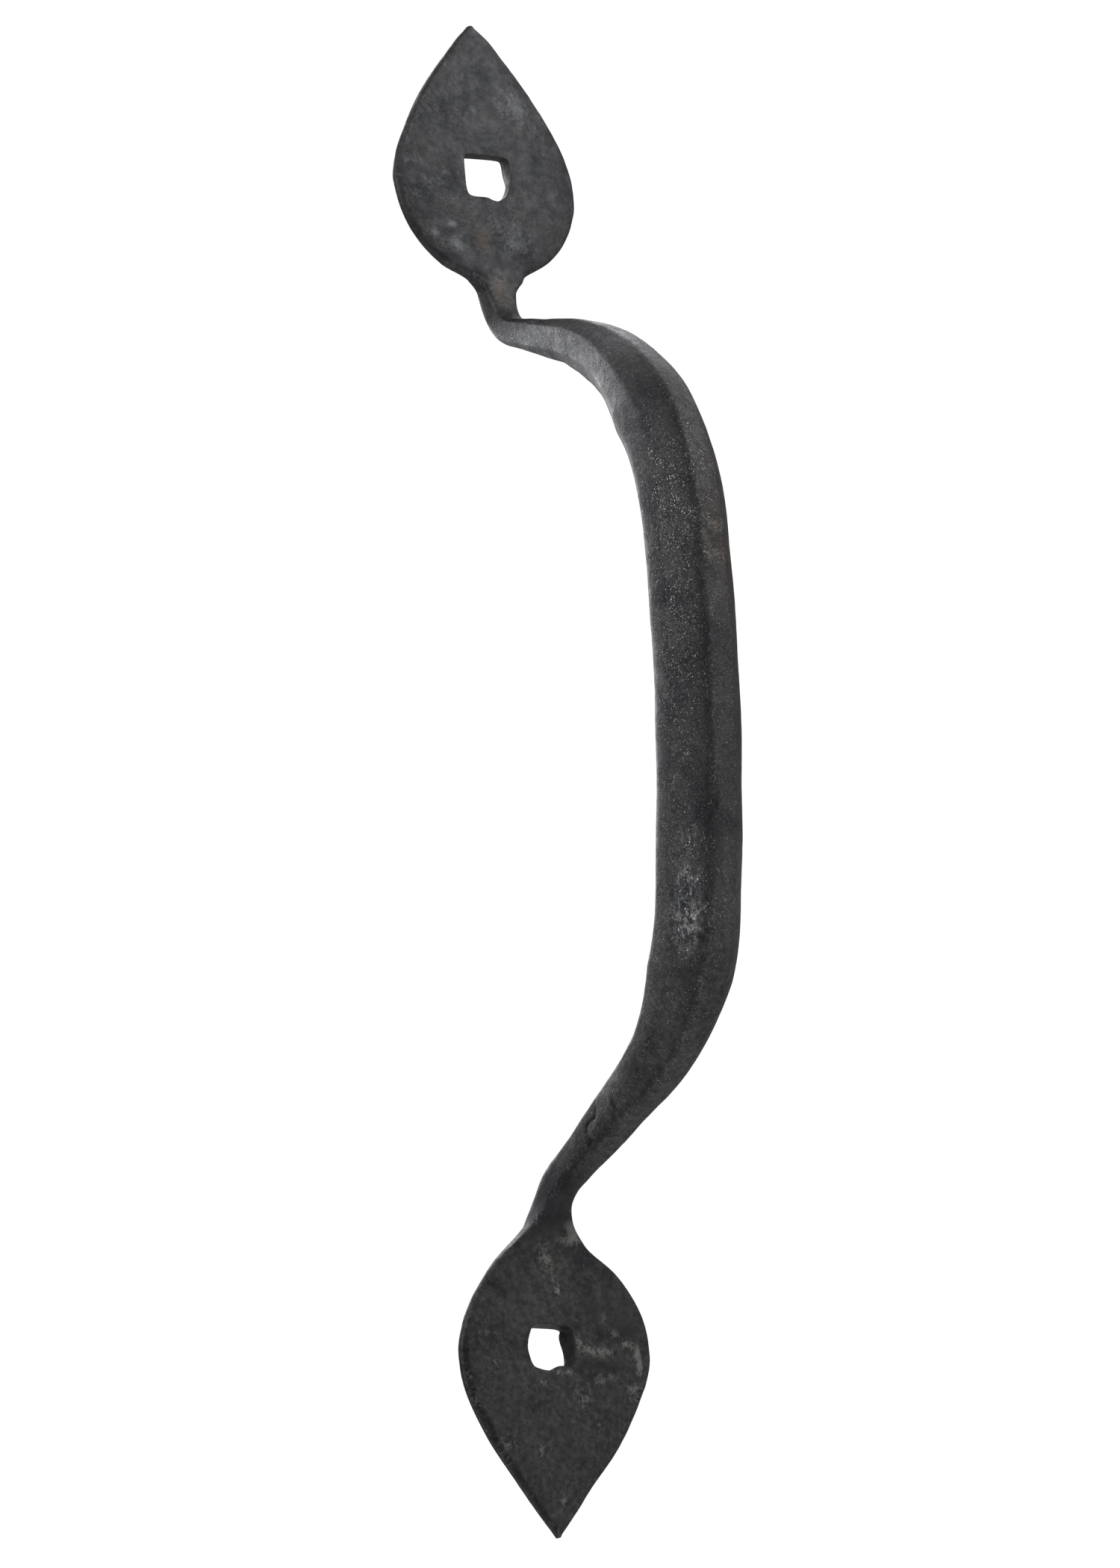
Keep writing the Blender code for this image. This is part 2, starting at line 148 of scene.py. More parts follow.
LOWER_LEAF_STAINS = {
    "pale": (
        (6.0, 20.8, 1.5, 1.1, 0.85), (4.3, 22.6, 1.5, 1.0, 0.8), (3.4, 19.6, 2.0, 0.8, 0.5),
        (-0.3, 15.4, 1.2, 1.5, 0.48), (-1.5, 18.0, 1.2, 1.8, 0.42), (1.4, 12.3, 0.8, 1.5, 0.38),
        (1.7, 10.3, 0.5, 0.5, 0.8), (5.9, -9.2, 2.2, 1.8, 0.42), (18.6, -6.7, 1.4, 1.4, 0.7),
        (0.8, -4.6, 0.6, 0.5, 0.8), (3.3, -4.4, 0.6, 0.5, 0.8), (-2.8, -6.5, 0.6, 0.6, 0.7),
        (-12.5, -3.4, 0.7, 0.5, 0.6), (-13.9, 2.6, 2.4, 3.0, 0.22),
        (-10.6, -18.6, 1.6, 1.2, 0.4), (6.2, 25.6, 0.8, 2.2, 0.85), (5.4, 30.5, 0.6, 2.4, 0.7),
        (5.8, 1.0, 1.0, 1.3, 0.5), (8.2, 0.1, 1.5, 0.9, 0.55), (11.8, -0.2, 1.9, 0.8, 0.55),
        (11.9, 6.3, 0.8, 0.8, 0.5), (14.3, 3.7, 1.3, 0.8, 0.62), (17.3, 1.9, 1.4, 0.7, 0.8),
        (19.5, 0.4, 0.8, 1.0, 1.0), (20.1, -2.0, 0.6, 1.5, 1.1), (9.8, -5.3, 1.5, 1.2, 0.5),
        (13.2, -4.6, 1.6, 0.7, 0.45), (-3.4, -19.4, 0.5, 1.0, 0.75),
        (1.2, -27.5, 0.6, 0.8, 0.65), (9.5, -14.0, 1.2, 1.2, 0.35),
    ),
    "dark": (
        (15.5, 7.5, 4.5, 4.0, 0.4), (13.8, -2.7, 4.2, 0.8, 0.6), (17.4, 4.4, 2.6, 1.2, 0.6),
        (8.8, -2.5, 3.4, 0.8, 0.5), (13.1, -6.4, 1.2, 1.2, 0.6), (-12.0, -10.6, 0.6, 1.8, 0.6),
        (-1.0, -15.5, 1.4, 1.0, 0.6), (-4.6, -14.2, 0.9, 1.6, 0.55), (2.6, -17.4, 0.9, 1.2, 0.5),
        (5.4, -21.0, 0.8, 1.4, 0.45), (9.0, 8.6, 2.6, 2.0, 0.25), (-6.0, -22.0, 2.0, 1.0, 0.35),
    ),
}

# Stains and painted light on the bar by their kind, in mm: across, out from the door, down
# from the fixing point, half size across, half size along and strength
BAR_STAINS_AND_PAINTED_LIGHT = {
    # A shiny hammered patch: less rough and more bumpy, with a painted sheen in its colour
    "glossy": (
        (-5.8, 58.4, 169.6, 1.8, 3.4, 1.1), (-5.6, 59.0, 162.0, 1.3, 2.6, 0.6),
        (-5.4, 59.4, 154.0, 1.0, 2.0, 0.55),
    ),
    "pale": (
        (0.5, 64.7, 97.2, 3.0, 1.6, 0.75), (0.5, 64.7, 103.0, 3.0, 1.3, 0.7),
        (2.6, 58.0, 71.5, 1.6, 3.4, 0.55), (4.0, 55.5, 66.5, 1.6, 3.4, 0.55),
    ),
    # Painted highlights on the arms' left faces, the upper bend and the grip's flats
    "painted_highlight": (
        (-4.5, 8.0, 44.8, 4.0, 3.6, 0.7), (-5.0, 16.0, 48.0, 3.6, 3.6, 0.8),
        (-5.3, 24.0, 51.0, 3.4, 3.6, 0.8), (-5.5, 33.0, 54.6, 3.2, 3.6, 0.8),
        (-6.4, 41.5, 60.5, 2.8, 4.0, 0.8), (-7.4, 48.5, 69.0, 2.0, 5.0, 0.7),
        (0.2, 41.5, 54.0, 3.4, 3.6, 1.0), (0.4, 46.8, 58.0, 3.2, 3.6, 1.3),
        (1.2, 51.6, 62.4, 2.8, 3.6, 1.2), (1.8, 56.0, 67.6, 2.2, 4.0, 0.7),
        (-1.2, 7.6, 46.6, 2.0, 2.4, 1.1), (-1.5, 14.2, 49.8, 2.2, 2.4, 1.2),
        (-2.6, 21.0, 52.4, 2.2, 2.4, 1.2), (-2.8, 28.0, 56.6, 2.2, 2.6, 1.2),
        (-3.6, 35.0, 62.0, 2.2, 3.0, 1.1), (4.0, 60.0, 165.0, 4.0, 14.0, 0.8),
        (-6.8, 49.0, 174.0, 2.4, 8.0, 0.6), (-4.5, 30.0, 192.5, 2.2, 6.0, 0.45),
    ),
    "dark": (
        # The first three rows paint shade along the ridge between the grip's front and its left
        # flat; the last three darken the lower neck
        (-2.4, 63.2, 164.0, 1.1, 5.5, 0.9), (-1.8, 62.8, 154.0, 1.1, 5.0, 0.75),
        (-3.6, 60.8, 184.0, 1.3, 5.0, 0.8), (-1.6, 5.5, 203.0, 4.2, 4.0, 0.7),
        (-1.0, 3.0, 208.0, 4.6, 4.0, 0.75), (0.0, 4.5, 209.5, 5.5, 5.0, 0.6),
    ),
    "warm": (
        (4.5, 62.0, 95.0, 4.4, 26.0, 1.0), (5.5, 62.0, 140.0, 3.6, 30.0, 0.6),
        (0.5, 64.7, 100.0, 3.0, 5.0, 0.6),
    ),
    "flaky": (
        (-5.8, 58.4, 169.6, 2.4, 4.4, 1.0), (-5.4, 59.4, 154.0, 2.0, 6.0, 0.6),
        (-4.0, 26.0, 197.5, 3.5, 6.0, 0.8), (-4.5, 38.0, 187.5, 3.5, 6.0, 0.6),
        (-6.0, 41.5, 60.0, 3.0, 4.0, 0.9), (-7.0, 50.0, 69.0, 2.6, 6.0, 0.9),
    ),
    "grain": (
        (-10.0, 1.0, 17.0, 5.0, 7.0, 0.35), (-5.6, 60.0, 92.0, 4.6, 15.0, 1.0),
        (-5.6, 60.0, 122.0, 4.0, 12.0, 1.0), (-5.6, 58.0, 160.0, 4.4, 14.0, 0.5),
    ),
}
STAIN_AND_PAINTED_LIGHT_KINDS = ("pale", "dark", "brown", "warm", "painted_highlight", "glossy", "flaky", "grain")
STAIN_AND_LIGHT_FALLOFF = 0.7
STRONGEST_STAIN_OR_LIGHT = 1.3
LEAF_STAIN_DEPTH = 7

# Grooves in the bar, in mm: two ends as across, out and down, then half width and depth
BAR_GROOVES = (
    ((-3.2, 24.2, 195.6), (-3.2, 23.6, 197.0), 0.35, 0.14),
    ((-3.2, 23.6, 197.0), (-2.8, 20.9, 197.9), 0.35, 0.14),
    ((-2.8, 20.9, 197.9), (-2.6, 20.4, 199.0), 0.35, 0.14),
    ((-2.6, 20.4, 199.0), (-2.3, 21.2, 200.5), 0.35, 0.12),
    ((-2.3, 21.2, 200.5), (-2.0, 20.0, 201.2), 0.35, 0.10),
    ((-3.9, 30.2, 195.5), (-3.0, 29.8, 197.1), 0.38, 0.18),
    ((-3.0, 28.9, 197.5), (-2.3, 28.2, 198.3), 0.35, 0.12),
    ((-1.8, 37.9, 195.4), (-0.3, 39.0, 195.4), 0.35, 0.10),
    ((-1.7, 63.5, 143.6), (-1.9, 63.4, 149.4), 0.50, 0.14),
)

# How much painted shade the bar's left front gets, and how much painted highlight its left
# flats get, against mm down from the fixing point
SHADE_OF_LEFT_FRONT = (
    (40, 0.1), (62, 0.5), (80, 0.45), (95, 0.15), (120, 0.8), (150, 0.6), (168, 0.4), (185, 0.2),
)
HIGHLIGHT_OF_LEFT_FLATS = ((38, 0.0), (46, 1.0), (70, 1.0), (92, 0.0))

# Points along each side of a section, from its right back bevel round the front to the
# back, and the sides that are told apart
SIDE_POINTS = (6, 8, 10, 54, 12, 8, 6, 18)
FRONT_SIDE = 3
LEFT_BEVEL = 4
LEFT_FLATS = (5, 6)

# Spacing of the rings, turns of softening for their edges, and how far from either tip
# the grip begins, whose left edges stay crisp
LEAF_RINGS = 155
LEAF_RING_CROWDING = 1.15
BAR_RING_STEP = 0.52 * MM
EDGE_SOFTENING = 10
GRIP_BEGINS = (125 * MM, 150 * MM)
FAR_FROM_EDGE = 9 * MM

# Shares of a leaf's length between which it is at its full thickness, and at which the
# bar's corners begin, and shares of the neck's and the leaf's width where they meet
FULL_THICKNESS = (0.35, 0.85)
CORNERS_BEGIN = 0.95
NECK_FLARE = 0.625
LEAF_END = 0.55

# Heights of the forged unevenness
BROAD_WAVES = 0.10 * MM
BAR_RIPPLES = 0.028 * MM
LEAF_RIPPLES = 0.055 * MM
FINE_GRAIN = 0.022 * MM
EXTRA_LEAF_GRAIN = 0.010 * MM
FLAKES = 0.085 * MM
BACK_HOLLOWS = 0.06 * MM
MARK_GAIN = 1.4
MARK_FALLOFF = 1.6
CRACK_DEPTH = 0.12 * MM

# The hammer's dents: seed, number, and ranges of their radius and depth in mm
DENT_SEED = 11
DENT_COUNT = 150
DENT_RADII = (2.0, 5.5)
DENT_DEPTHS = (0.03, 0.09)

# A bar with fewer faces than this was lost in cutting the nail holes
FEWEST_FACES = 1000
SHARP_ANGLE = math.radians(40)

SENSOR_WIDTH = 36.0
CLIP_START, CLIP_END = 0.05, 60.0
FLOOR_HALF_WIDTH = 6.0
BACKDROP_RADIUS = 9.0
BACKDROP_STRENGTH = 1.05
LIGHT_DISTANCE, LIGHT_SIZE = 1.0, 0.55
NEAR_LIGHT_DISTANCE, NEAR_LIGHT_SIZE = 0.5, 0.3
LIT_MIDDLE = (0.0, -0.03, -0.10)
LIT_SHOULDER = (0.0, -0.03, -0.03)

# Settings that many of the properties share
LENGTH = {"unit": "LENGTH", "precision": 4}
COLOUR = {"subtype": "COLOR", "size": 3, "min": 0.0, "max": 1.0}
POWER = {"unit": "POWER", "min": 0.0}


class HandleSizes(bpy.types.PropertyGroup):
    """Sizes of the finished handle."""

    hole_spacing: FloatProperty(
        name="Hole Spacing", description="Distance between the two nail holes", default=0.2226,
        min=0.1, **LENGTH)
    mount_above_hole: FloatProperty(
        name="Fixing Point", description="Height of the upper fixing point above its hole",
        default=0.012, **LENGTH)
    upper_leaf_length: FloatProperty(
        name="Upper Leaf Length", description="Upper leaf from its tip to its neck",
        default=0.0532, min=0.02, **LENGTH)
    upper_leaf_width: FloatProperty(
        name="Upper Leaf Width", description="Widest part of the upper leaf", default=0.0411,
        min=0.01, **LENGTH)
    upper_tip_above_hole: FloatProperty(
        name="Upper Tip", description="Height of the upper tip above its hole", default=0.0307,
        **LENGTH)
    lower_leaf_length: FloatProperty(
        name="Lower Leaf Length", description="Lower leaf from its tip to its neck",
        default=0.0576, min=0.02, **LENGTH)
    lower_leaf_width: FloatProperty(
        name="Lower Leaf Width", description="Widest part of the lower leaf", default=0.0421,
        min=0.01, **LENGTH)
    lower_tip_below_hole: FloatProperty(
        name="Lower Tip", description="Depth of the lower tip below its hole", default=0.0343,
        **LENGTH)
    leaf_thickness: FloatProperty(
        name="Leaf Thickness", description="Thickness of both leaves", default=0.0032, min=0.001,
        **LENGTH)
    leaf_crown: FloatProperty(
        name="Leaf Crown", description="How much thinner a leaf's rim is than its middle",
        default=0.0015, min=0.0, **LENGTH)
    crown_slope: FloatProperty(
        name="Crown Slope", description="Most that the crown rises over the leaf's half width",
        default=0.085, min=0.0, max=0.3)
    tip_thickness: FloatProperty(
        name="Tip Thickness", description="Thickness at the leaves' points", default=0.0014,
        min=0.0005, **LENGTH)
    bevel_width: FloatProperty(
        name="Leaf Bevel Width", description="Width of the bevel round the leaves' fronts",
        default=0.0006, **LENGTH)
    bevel_depth: FloatProperty(
        name="Leaf Bevel Depth", description="Depth of the bevel round the leaves' fronts",
        default=0.0005, **LENGTH)
    back_bevel: FloatProperty(
        name="Back Bevel", description="Small bevel round the leaves' backs", default=0.0004,
        **LENGTH)
    upper_elbow_below_hole: FloatProperty(
        name="Upper Elbow", description="Depth of the upper elbow below its hole", default=0.0298,
        **LENGTH)
    lower_elbow_above_hole: FloatProperty(
        name="Lower Elbow", description="Height of the lower elbow above its hole",
        default=0.0284, **LENGTH)
    elbow_radius: FloatProperty(
        name="Elbow Radius", description="Radius of the bar's centre line at the elbows",
        default=0.0093, **LENGTH)
    upper_neck: FloatVectorProperty(
        name="Upper Neck", description="Width, thickness and lean towards +X of the upper neck",
        default=(0.0057, 0.0049, 0.0015), size=3, **LENGTH)
    lower_neck: FloatVectorProperty(
        name="Lower Neck", description="Width, thickness and lean towards +X of the lower neck",
        default=(0.0059, 0.0055, 0.0015), size=3, **LENGTH)
    upper_shoulder: FloatVectorProperty(
        name="Upper Shoulder", description="Projection, drop below the elbow, and radius",
        default=(0.0551, 0.0208, 0.0520), size=3, **LENGTH)
    lower_shoulder: FloatVectorProperty(
        name="Lower Shoulder", description="Projection, rise above the elbow, and radius",
        default=(0.0514, 0.0223, 0.0341), size=3, **LENGTH)
    arm_taper_length: FloatProperty(
        name="Arm Taper", description="Length over which the bar swells from neck to grip",
        default=0.0564, **LENGTH)
    arm_octagon_length: FloatProperty(
        name="Arm Octagon",
        description="Length past the elbow over which the bar turns eight sided", default=0.042,
        **LENGTH)
    arm_middle: FloatVectorProperty(
        name="Arm Middle", description="Width and thickness half way along the taper",
        default=(0.0099, 0.0096), size=2, **LENGTH)
    grip_bow: FloatVectorProperty(
        name="Grip Bow", description="Projection, drop below the middle, and radius",
        default=(0.0585, 0.005, 0.350), size=3, **LENGTH)
    grip_width: FloatProperty(
        name="Grip Width", description="Width of the grip across its flats", default=0.0159,
        **LENGTH)
    grip_depth: FloatProperty(
        name="Grip Depth", description="Depth of the grip from front to back", default=0.0159,
        **LENGTH)
    grip_flat_bevel: FloatProperty(
        name="Grip Corner Flats", description="How far the corner flats cut into the square",
        default=0.0053, **LENGTH)
    rounded_share: FloatProperty(
        name="Rounded Share", description="How round the grip is between its flats", default=0.45,
        min=0.0, max=1.0, subtype="FACTOR")
    hammer_depth: FloatProperty(
        name="Hammer Depth", description="Depth of the hammer's waves along the grip",
        default=0.0003, unit="LENGTH", precision=5)
    hammer_pitch: FloatProperty(
        name="Hammer Pitch", description="Distance between the hammer's blows", default=0.021,
        min=0.005, **LENGTH)
    upper_hole: FloatVectorProperty(
        name="Upper Hole", description="Width and height of the upper nail hole",
        default=(0.0100, 0.0079), size=2, **LENGTH)
    lower_hole: FloatVectorProperty(
        name="Lower Hole", description="Width and height of the lower nail hole",
        default=(0.0096, 0.0082), size=2, **LENGTH)


class IronFinish(bpy.types.PropertyGroup):
    """Colours and texture of the black iron."""

    iron_colour: FloatVectorProperty(
        name="Iron", description="Dark oiled iron", default=(0.0445, 0.0448, 0.0466), **COLOUR)
    lower_iron_colour: FloatVectorProperty(
        name="Lower Iron", description="Iron of the lower half, less blue",
        default=(0.0450, 0.0446, 0.0440), **COLOUR)
    soot_colour: FloatVectorProperty(
        name="Soot", description="Darkest mottling of the iron", default=(0.021, 0.022, 0.025),
        **COLOUR)
    scale_colour: FloatVectorProperty(
        name="Scale", description="Pale flakes of forge scale", default=(0.125, 0.128, 0.132),
        **COLOUR)
    crust_colour: FloatVectorProperty(
        name="Crust", description="Paler crust on the lower leaf", default=(0.190, 0.184, 0.175),
        **COLOUR)
    brown_colour: FloatVectorProperty(
        name="Brown Tint", description="Warm tint where the oil browned",
        default=(0.074, 0.062, 0.055), **COLOUR)
    worn_colour: FloatVectorProperty(
        name="Worn Edge", description="Bare metal on the ridges and rims",
        default=(0.16, 0.165, 0.17), **COLOUR)
    edge_tint: FloatVectorProperty(
        name="Edge Tint", description="Tint of the shine seen at a low angle",
        default=(0.70, 0.70, 0.71), **COLOUR)
    warm_tint: FloatVectorProperty(
        name="Warm Tint", description="Faint warm cast on the right of the grip",
        default=(0.93, 0.83, 0.75), **COLOUR)
    # Painted glints: the colour of tiny bright specks on the bar
    glint_speck_colour: FloatVectorProperty(
        name="Specks", description="Tiny bright specks of bare metal", default=(0.48, 0.48, 0.48),
        **COLOUR)
    metallic: FloatProperty(
        name="Metallic", description="Metallic share of the surface", default=0.75, min=0.0,
        max=1.0, subtype="FACTOR")
    scale_relief: FloatProperty(
        name="Scale Relief", description="Height of the fine bumps of the scale", default=0.00022,
        min=0.0, unit="LENGTH", precision=6)


class StudioSettings(bpy.types.PropertyGroup):
    """Camera, floor and lights."""

    camera_aim: FloatVectorProperty(
        name="Aim", description="Point that the camera looks at", subtype="TRANSLATION",
        default=(0.0082, -0.0037, -0.1287), size=3)
    camera_distance: FloatProperty(
        name="Distance", description="Distance from the camera to its aim", default=1.5616,
        min=0.2, unit="LENGTH")
    camera_azimuth: FloatProperty(
        name="Azimuth", description="Turn of the camera round the handle, from the front",
        default=math.radians(-36.5), unit="ROTATION")
    camera_elevation: FloatProperty(
        name="Elevation", description="Height angle of the camera", default=math.radians(-15.4),
        unit="ROTATION")
    camera_roll: FloatProperty(
        name="Roll", description="Roll of the camera about its own axis",
        default=math.radians(-3.2), unit="ROTATION")
    focal_length: FloatProperty(
        name="Focal Length", description="Focal length in mm on a 36 mm sensor", default=195.4,
        min=10.0, unit="CAMERA")
    floor_depth: FloatProperty(
        name="Floor Depth", description="Depth of the floor below the fixing point", default=0.95,
        min=0.4, unit="LENGTH")
    floor_colour: FloatVectorProperty(
        name="Floor", description="Pale floor", default=(0.86, 0.86, 0.86), **COLOUR)
    floor_glow: FloatProperty(
        name="Floor Glow", description="Light that keeps the floor pale", default=0.20, min=0.0)
    backdrop_colour: FloatVectorProperty(
        name="Backdrop", description="White dome behind everything", default=(1.0, 1.0, 1.0),
        **COLOUR)
    room_light: FloatProperty(
        name="Room Light", description="Strength of the even light of the room", default=0.36,
        min=0.0)
    left_light: FloatProperty(
        name="Left Light", description="Power of the soft light to the left", default=4.2,
        **POWER)
    left_front_light: FloatProperty(
        name="Left Front Light", description="Power of the soft light in front and to the left",
        default=3.0, **POWER)
    back_light: FloatProperty(
        name="Back Light", description="Power of the soft light straight behind", default=7.1,
        **POWER)
    high_back_light: FloatProperty(
        name="High Back Light", description="Power of the soft light above, behind to the right",
        default=7.8, **POWER)
    near_light: FloatProperty(
        name="Near Light", description="Power of the small light close to the upper leaf",
        default=1.65, **POWER)
    front_light: FloatProperty(
        name="Front Light", description="Power of the soft light in front, to the right",
        default=0.8, **POWER)


# Shape of the bar

def smooth_values(rows, places):
    """Read a smooth curve through (place, value) rows that never swings past them."""
    x, y = np.array(rows, float).T
    secant = np.diff(y) / np.diff(x)
    slope = np.zeros(len(x))
    slope[0], slope[-1] = secant[0], secant[-1]
    before, after = secant[:-1], secant[1:]
    same_way = before * after > 0
    total = np.where(same_way, before + after, 1.0)
    slope[1:-1] = np.where(same_way, 2 * before * after / total, 0.0)
    at = np.clip(places, x[0], x[-1])
    index = np.clip(np.searchsorted(x, at) - 1, 0, len(x) - 2)
    span = x[index + 1] - x[index]
    t = (at - x[index]) / span
    rise = (y[index + 1] - y[index]) * t * t * (3 - 2 * t)
    lead = t * (1 - t) ** 2 * slope[index] * span
    trail = t * t * (1 - t) * slope[index + 1] * span
    return y[index] + rise + lead - trail


def smooth_step(values, low, high):
    """Return 0 below low, 1 above high and a smooth rise between."""
    t = np.clip((values - low) / (high - low), 0.0, 1.0)
    return t * t * (3 - 2 * t)


class BarPath:
    """Centre line of the bar in the plane X = 0: straight runs and rounded corners."""

    def __init__(self, corners, radii):
        self.runs = []
        self.length = 0.0
        here = Vector(corners[0])
        for index, radius in enumerate(radii):
            before, corner, after = (Vector(corners[index + k]) for k in range(3))
            ahead = (corner - before).normalized()
            away = (after - corner).normalized()
            turn = ahead.angle(away)
            side = 1.0 if ahead.x * away.y - ahead.y * away.x > 0 else -1.0
            room = min((corner - here).length, 0.5 * (after - corner).length)
            cut_back = min(radius * math.tan(turn / 2), room)
            fitted = cut_back / math.tan(turn / 2)
            bend_start = corner - ahead * cut_back
            self.add(here, ahead, (bend_start - here).length, 0.0)
            self.add(bend_start, ahead, fitted * turn, side / fitted)
            here = corner + away * cut_back
        last = Vector(corners[-1])
        self.add(here, (last - here).normalized(), (last - here).length, 0.0)

    def add(self, start, ahead, length, curvature):
        self.runs.append((self.length, length, start, ahead, curvature))
        self.length += length

    def at(self, distance):
        """Return (place y, place z, outward y, outward z) at a distance from the upper tip."""
        run = [each for each in self.runs if each[0] <= distance][-1]
        begins, _, start, ahead, curvature = run
        along = distance - begins
        sideways = Vector((-ahead.y, ahead.x))
        turn = along * curvature
        heading = ahead * math.cos(turn) + sideways * math.sin(turn)
        place = start + ahead * along
        if turn:
            arc = ahead * math.sin(turn) + sideways * (1 - math.cos(turn))
            place = start + arc / curvature
        return place.x, place.y, heading.y, -heading.x


def handle_path(sizes):
    """Return the bar's centre line, with Z measured from the middle of the hole spacing."""
    hole_up = sizes.hole_spacing / 2
    door_upper = -sizes.upper_neck[1] / 2
    door_lower = -sizes.lower_neck[1] / 2
    upper_elbow = hole_up - sizes.upper_elbow_below_hole
    lower_elbow = sizes.lower_elbow_above_hole - hole_up
    upper_out, upper_drop, upper_radius = sizes.upper_shoulder
    lower_out, lower_rise, lower_radius = sizes.lower_shoulder
    grip_out, grip_drop, grip_radius = sizes.grip_bow
    corners = (
        (door_upper, hole_up + sizes.upper_tip_above_hole),
        (door_upper, upper_elbow),
        (-upper_out, upper_elbow - upper_drop),
        (-grip_out, -grip_drop),
        (-lower_out, lower_elbow + lower_rise),
        (door_lower, lower_elbow),
        (door_lower, -hole_up - sizes.lower_tip_below_hole),
    )
    radii = (sizes.elbow_radius, upper_radius, grip_radius, lower_radius, sizes.elbow_radius)
    return BarPath(corners, radii)


def end_sections(sizes, outline, leaf_length, leaf_width, neck, elbow, distances):
    """Return the section's measures at distances from one end's tip, one row each."""
    neck_width, neck_thickness, neck_lean = neck
    arm_width, arm_thickness = sizes.arm_middle
    half = leaf_width / 2
    path_back = neck_thickness / 2
    taper_middle = elbow + sizes.arm_taper_length / 2
    taper_end = elbow + sizes.arm_taper_length
    grip_half, grip_reach = sizes.grip_width / 2, sizes.grip_depth / 2
    half_widths = [(row[0] * leaf_length, row[1] * half) for row in outline]
    half_widths += [
        (leaf_length, max(neck_width * NECK_FLARE, outline[-1][1] * half * LEAF_END)),
        (elbow, neck_width / 2),
        (taper_middle, arm_width / 2),
        (taper_end, grip_half),
    ]
    leans = [(row[0] * leaf_length, row[2] * half) for row in outline]
    leans += [(elbow, neck_lean), (taper_end, 0.0)]
    fronts = [
        (0.0, sizes.tip_thickness - path_back),
        (leaf_length * FULL_THICKNESS[0], sizes.leaf_thickness - path_back),
        (leaf_length * FULL_THICKNESS[1], sizes.leaf_thickness - path_back),
        (elbow, path_back),
        (taper_middle, arm_thickness / 2),
        (taper_end, grip_reach),
    ]
    backs = [
        (leaf_length, path_back),
        (elbow, path_back),
        (taper_middle, arm_thickness / 2),
        (taper_end, grip_reach),
    ]
    eight_sided_from = elbow + sizes.arm_octagon_length
    share = smooth_values(
        [(leaf_length * CORNERS_BEGIN, 0.0), (eight_sided_from, 1.0)], distances)
    width = smooth_values(half_widths, distances)
    lean = smooth_values(leans, distances)
    crown = np.minimum(sizes.leaf_crown, sizes.crown_slope * width) * (1 - share)
    front = smooth_values(fronts, distances) - crown
    back = smooth_values(backs, distances)
    grip_bevel = sizes.grip_flat_bevel * (back + front) / sizes.grip_depth
    narrowing = width / (width + sizes.bevel_width)
    deep = np.minimum(sizes.bevel_depth, 0.4 * (back + front))
    return np.stack([
        width - lean,
        width + lean,
        back,
        front,
        sizes.back_bevel * narrowing * (1 - share) + grip_bevel * share,
        sizes.bevel_width * narrowing * (1 - share) + grip_bevel * share,
        deep * (1 - share) + grip_bevel * share,
        crown,
        share,
    ], axis=1)


def evenly_spaced(points, sheets, share):
    """Slide the points and their sheets round each ring until they are even on the bar."""
    even = np.arange(points.shape[1]) / points.shape[1]
    slid, slid_sheets = np.empty_like(points), [np.empty_like(sheet) for sheet in sheets]
    for row, (ring, bar) in enumerate(zip(points, share)):
        closed = np.vstack([ring, ring[:1]])
        steps = np.linalg.norm(np.diff(closed, axis=0), axis=1)
        reached = np.concatenate([[0.0], np.cumsum(steps)]) / steps.sum()
        wanted = reached[:-1] * (1 - bar) + even * bar
        for axis in range(2):
            slid[row, :, axis] = np.interp(wanted, reached, closed[:, axis])
        for sheet, slid_sheet in zip(sheets, slid_sheets):
            slid_sheet[row] = np.interp(wanted, reached, np.append(sheet[row], sheet[row, 0]))
    return slid, *slid_sheets


def softened(points, softness, turns):
    """Round the edges of closed rings by drawing each point towards its neighbours."""
    for _ in range(turns):
        neighbours = (np.roll(points, 1, axis=1) + np.roll(points, -1, axis=1)) / 2
        points = points + (neighbours - points) * softness[:, :, None] / 2
    return points


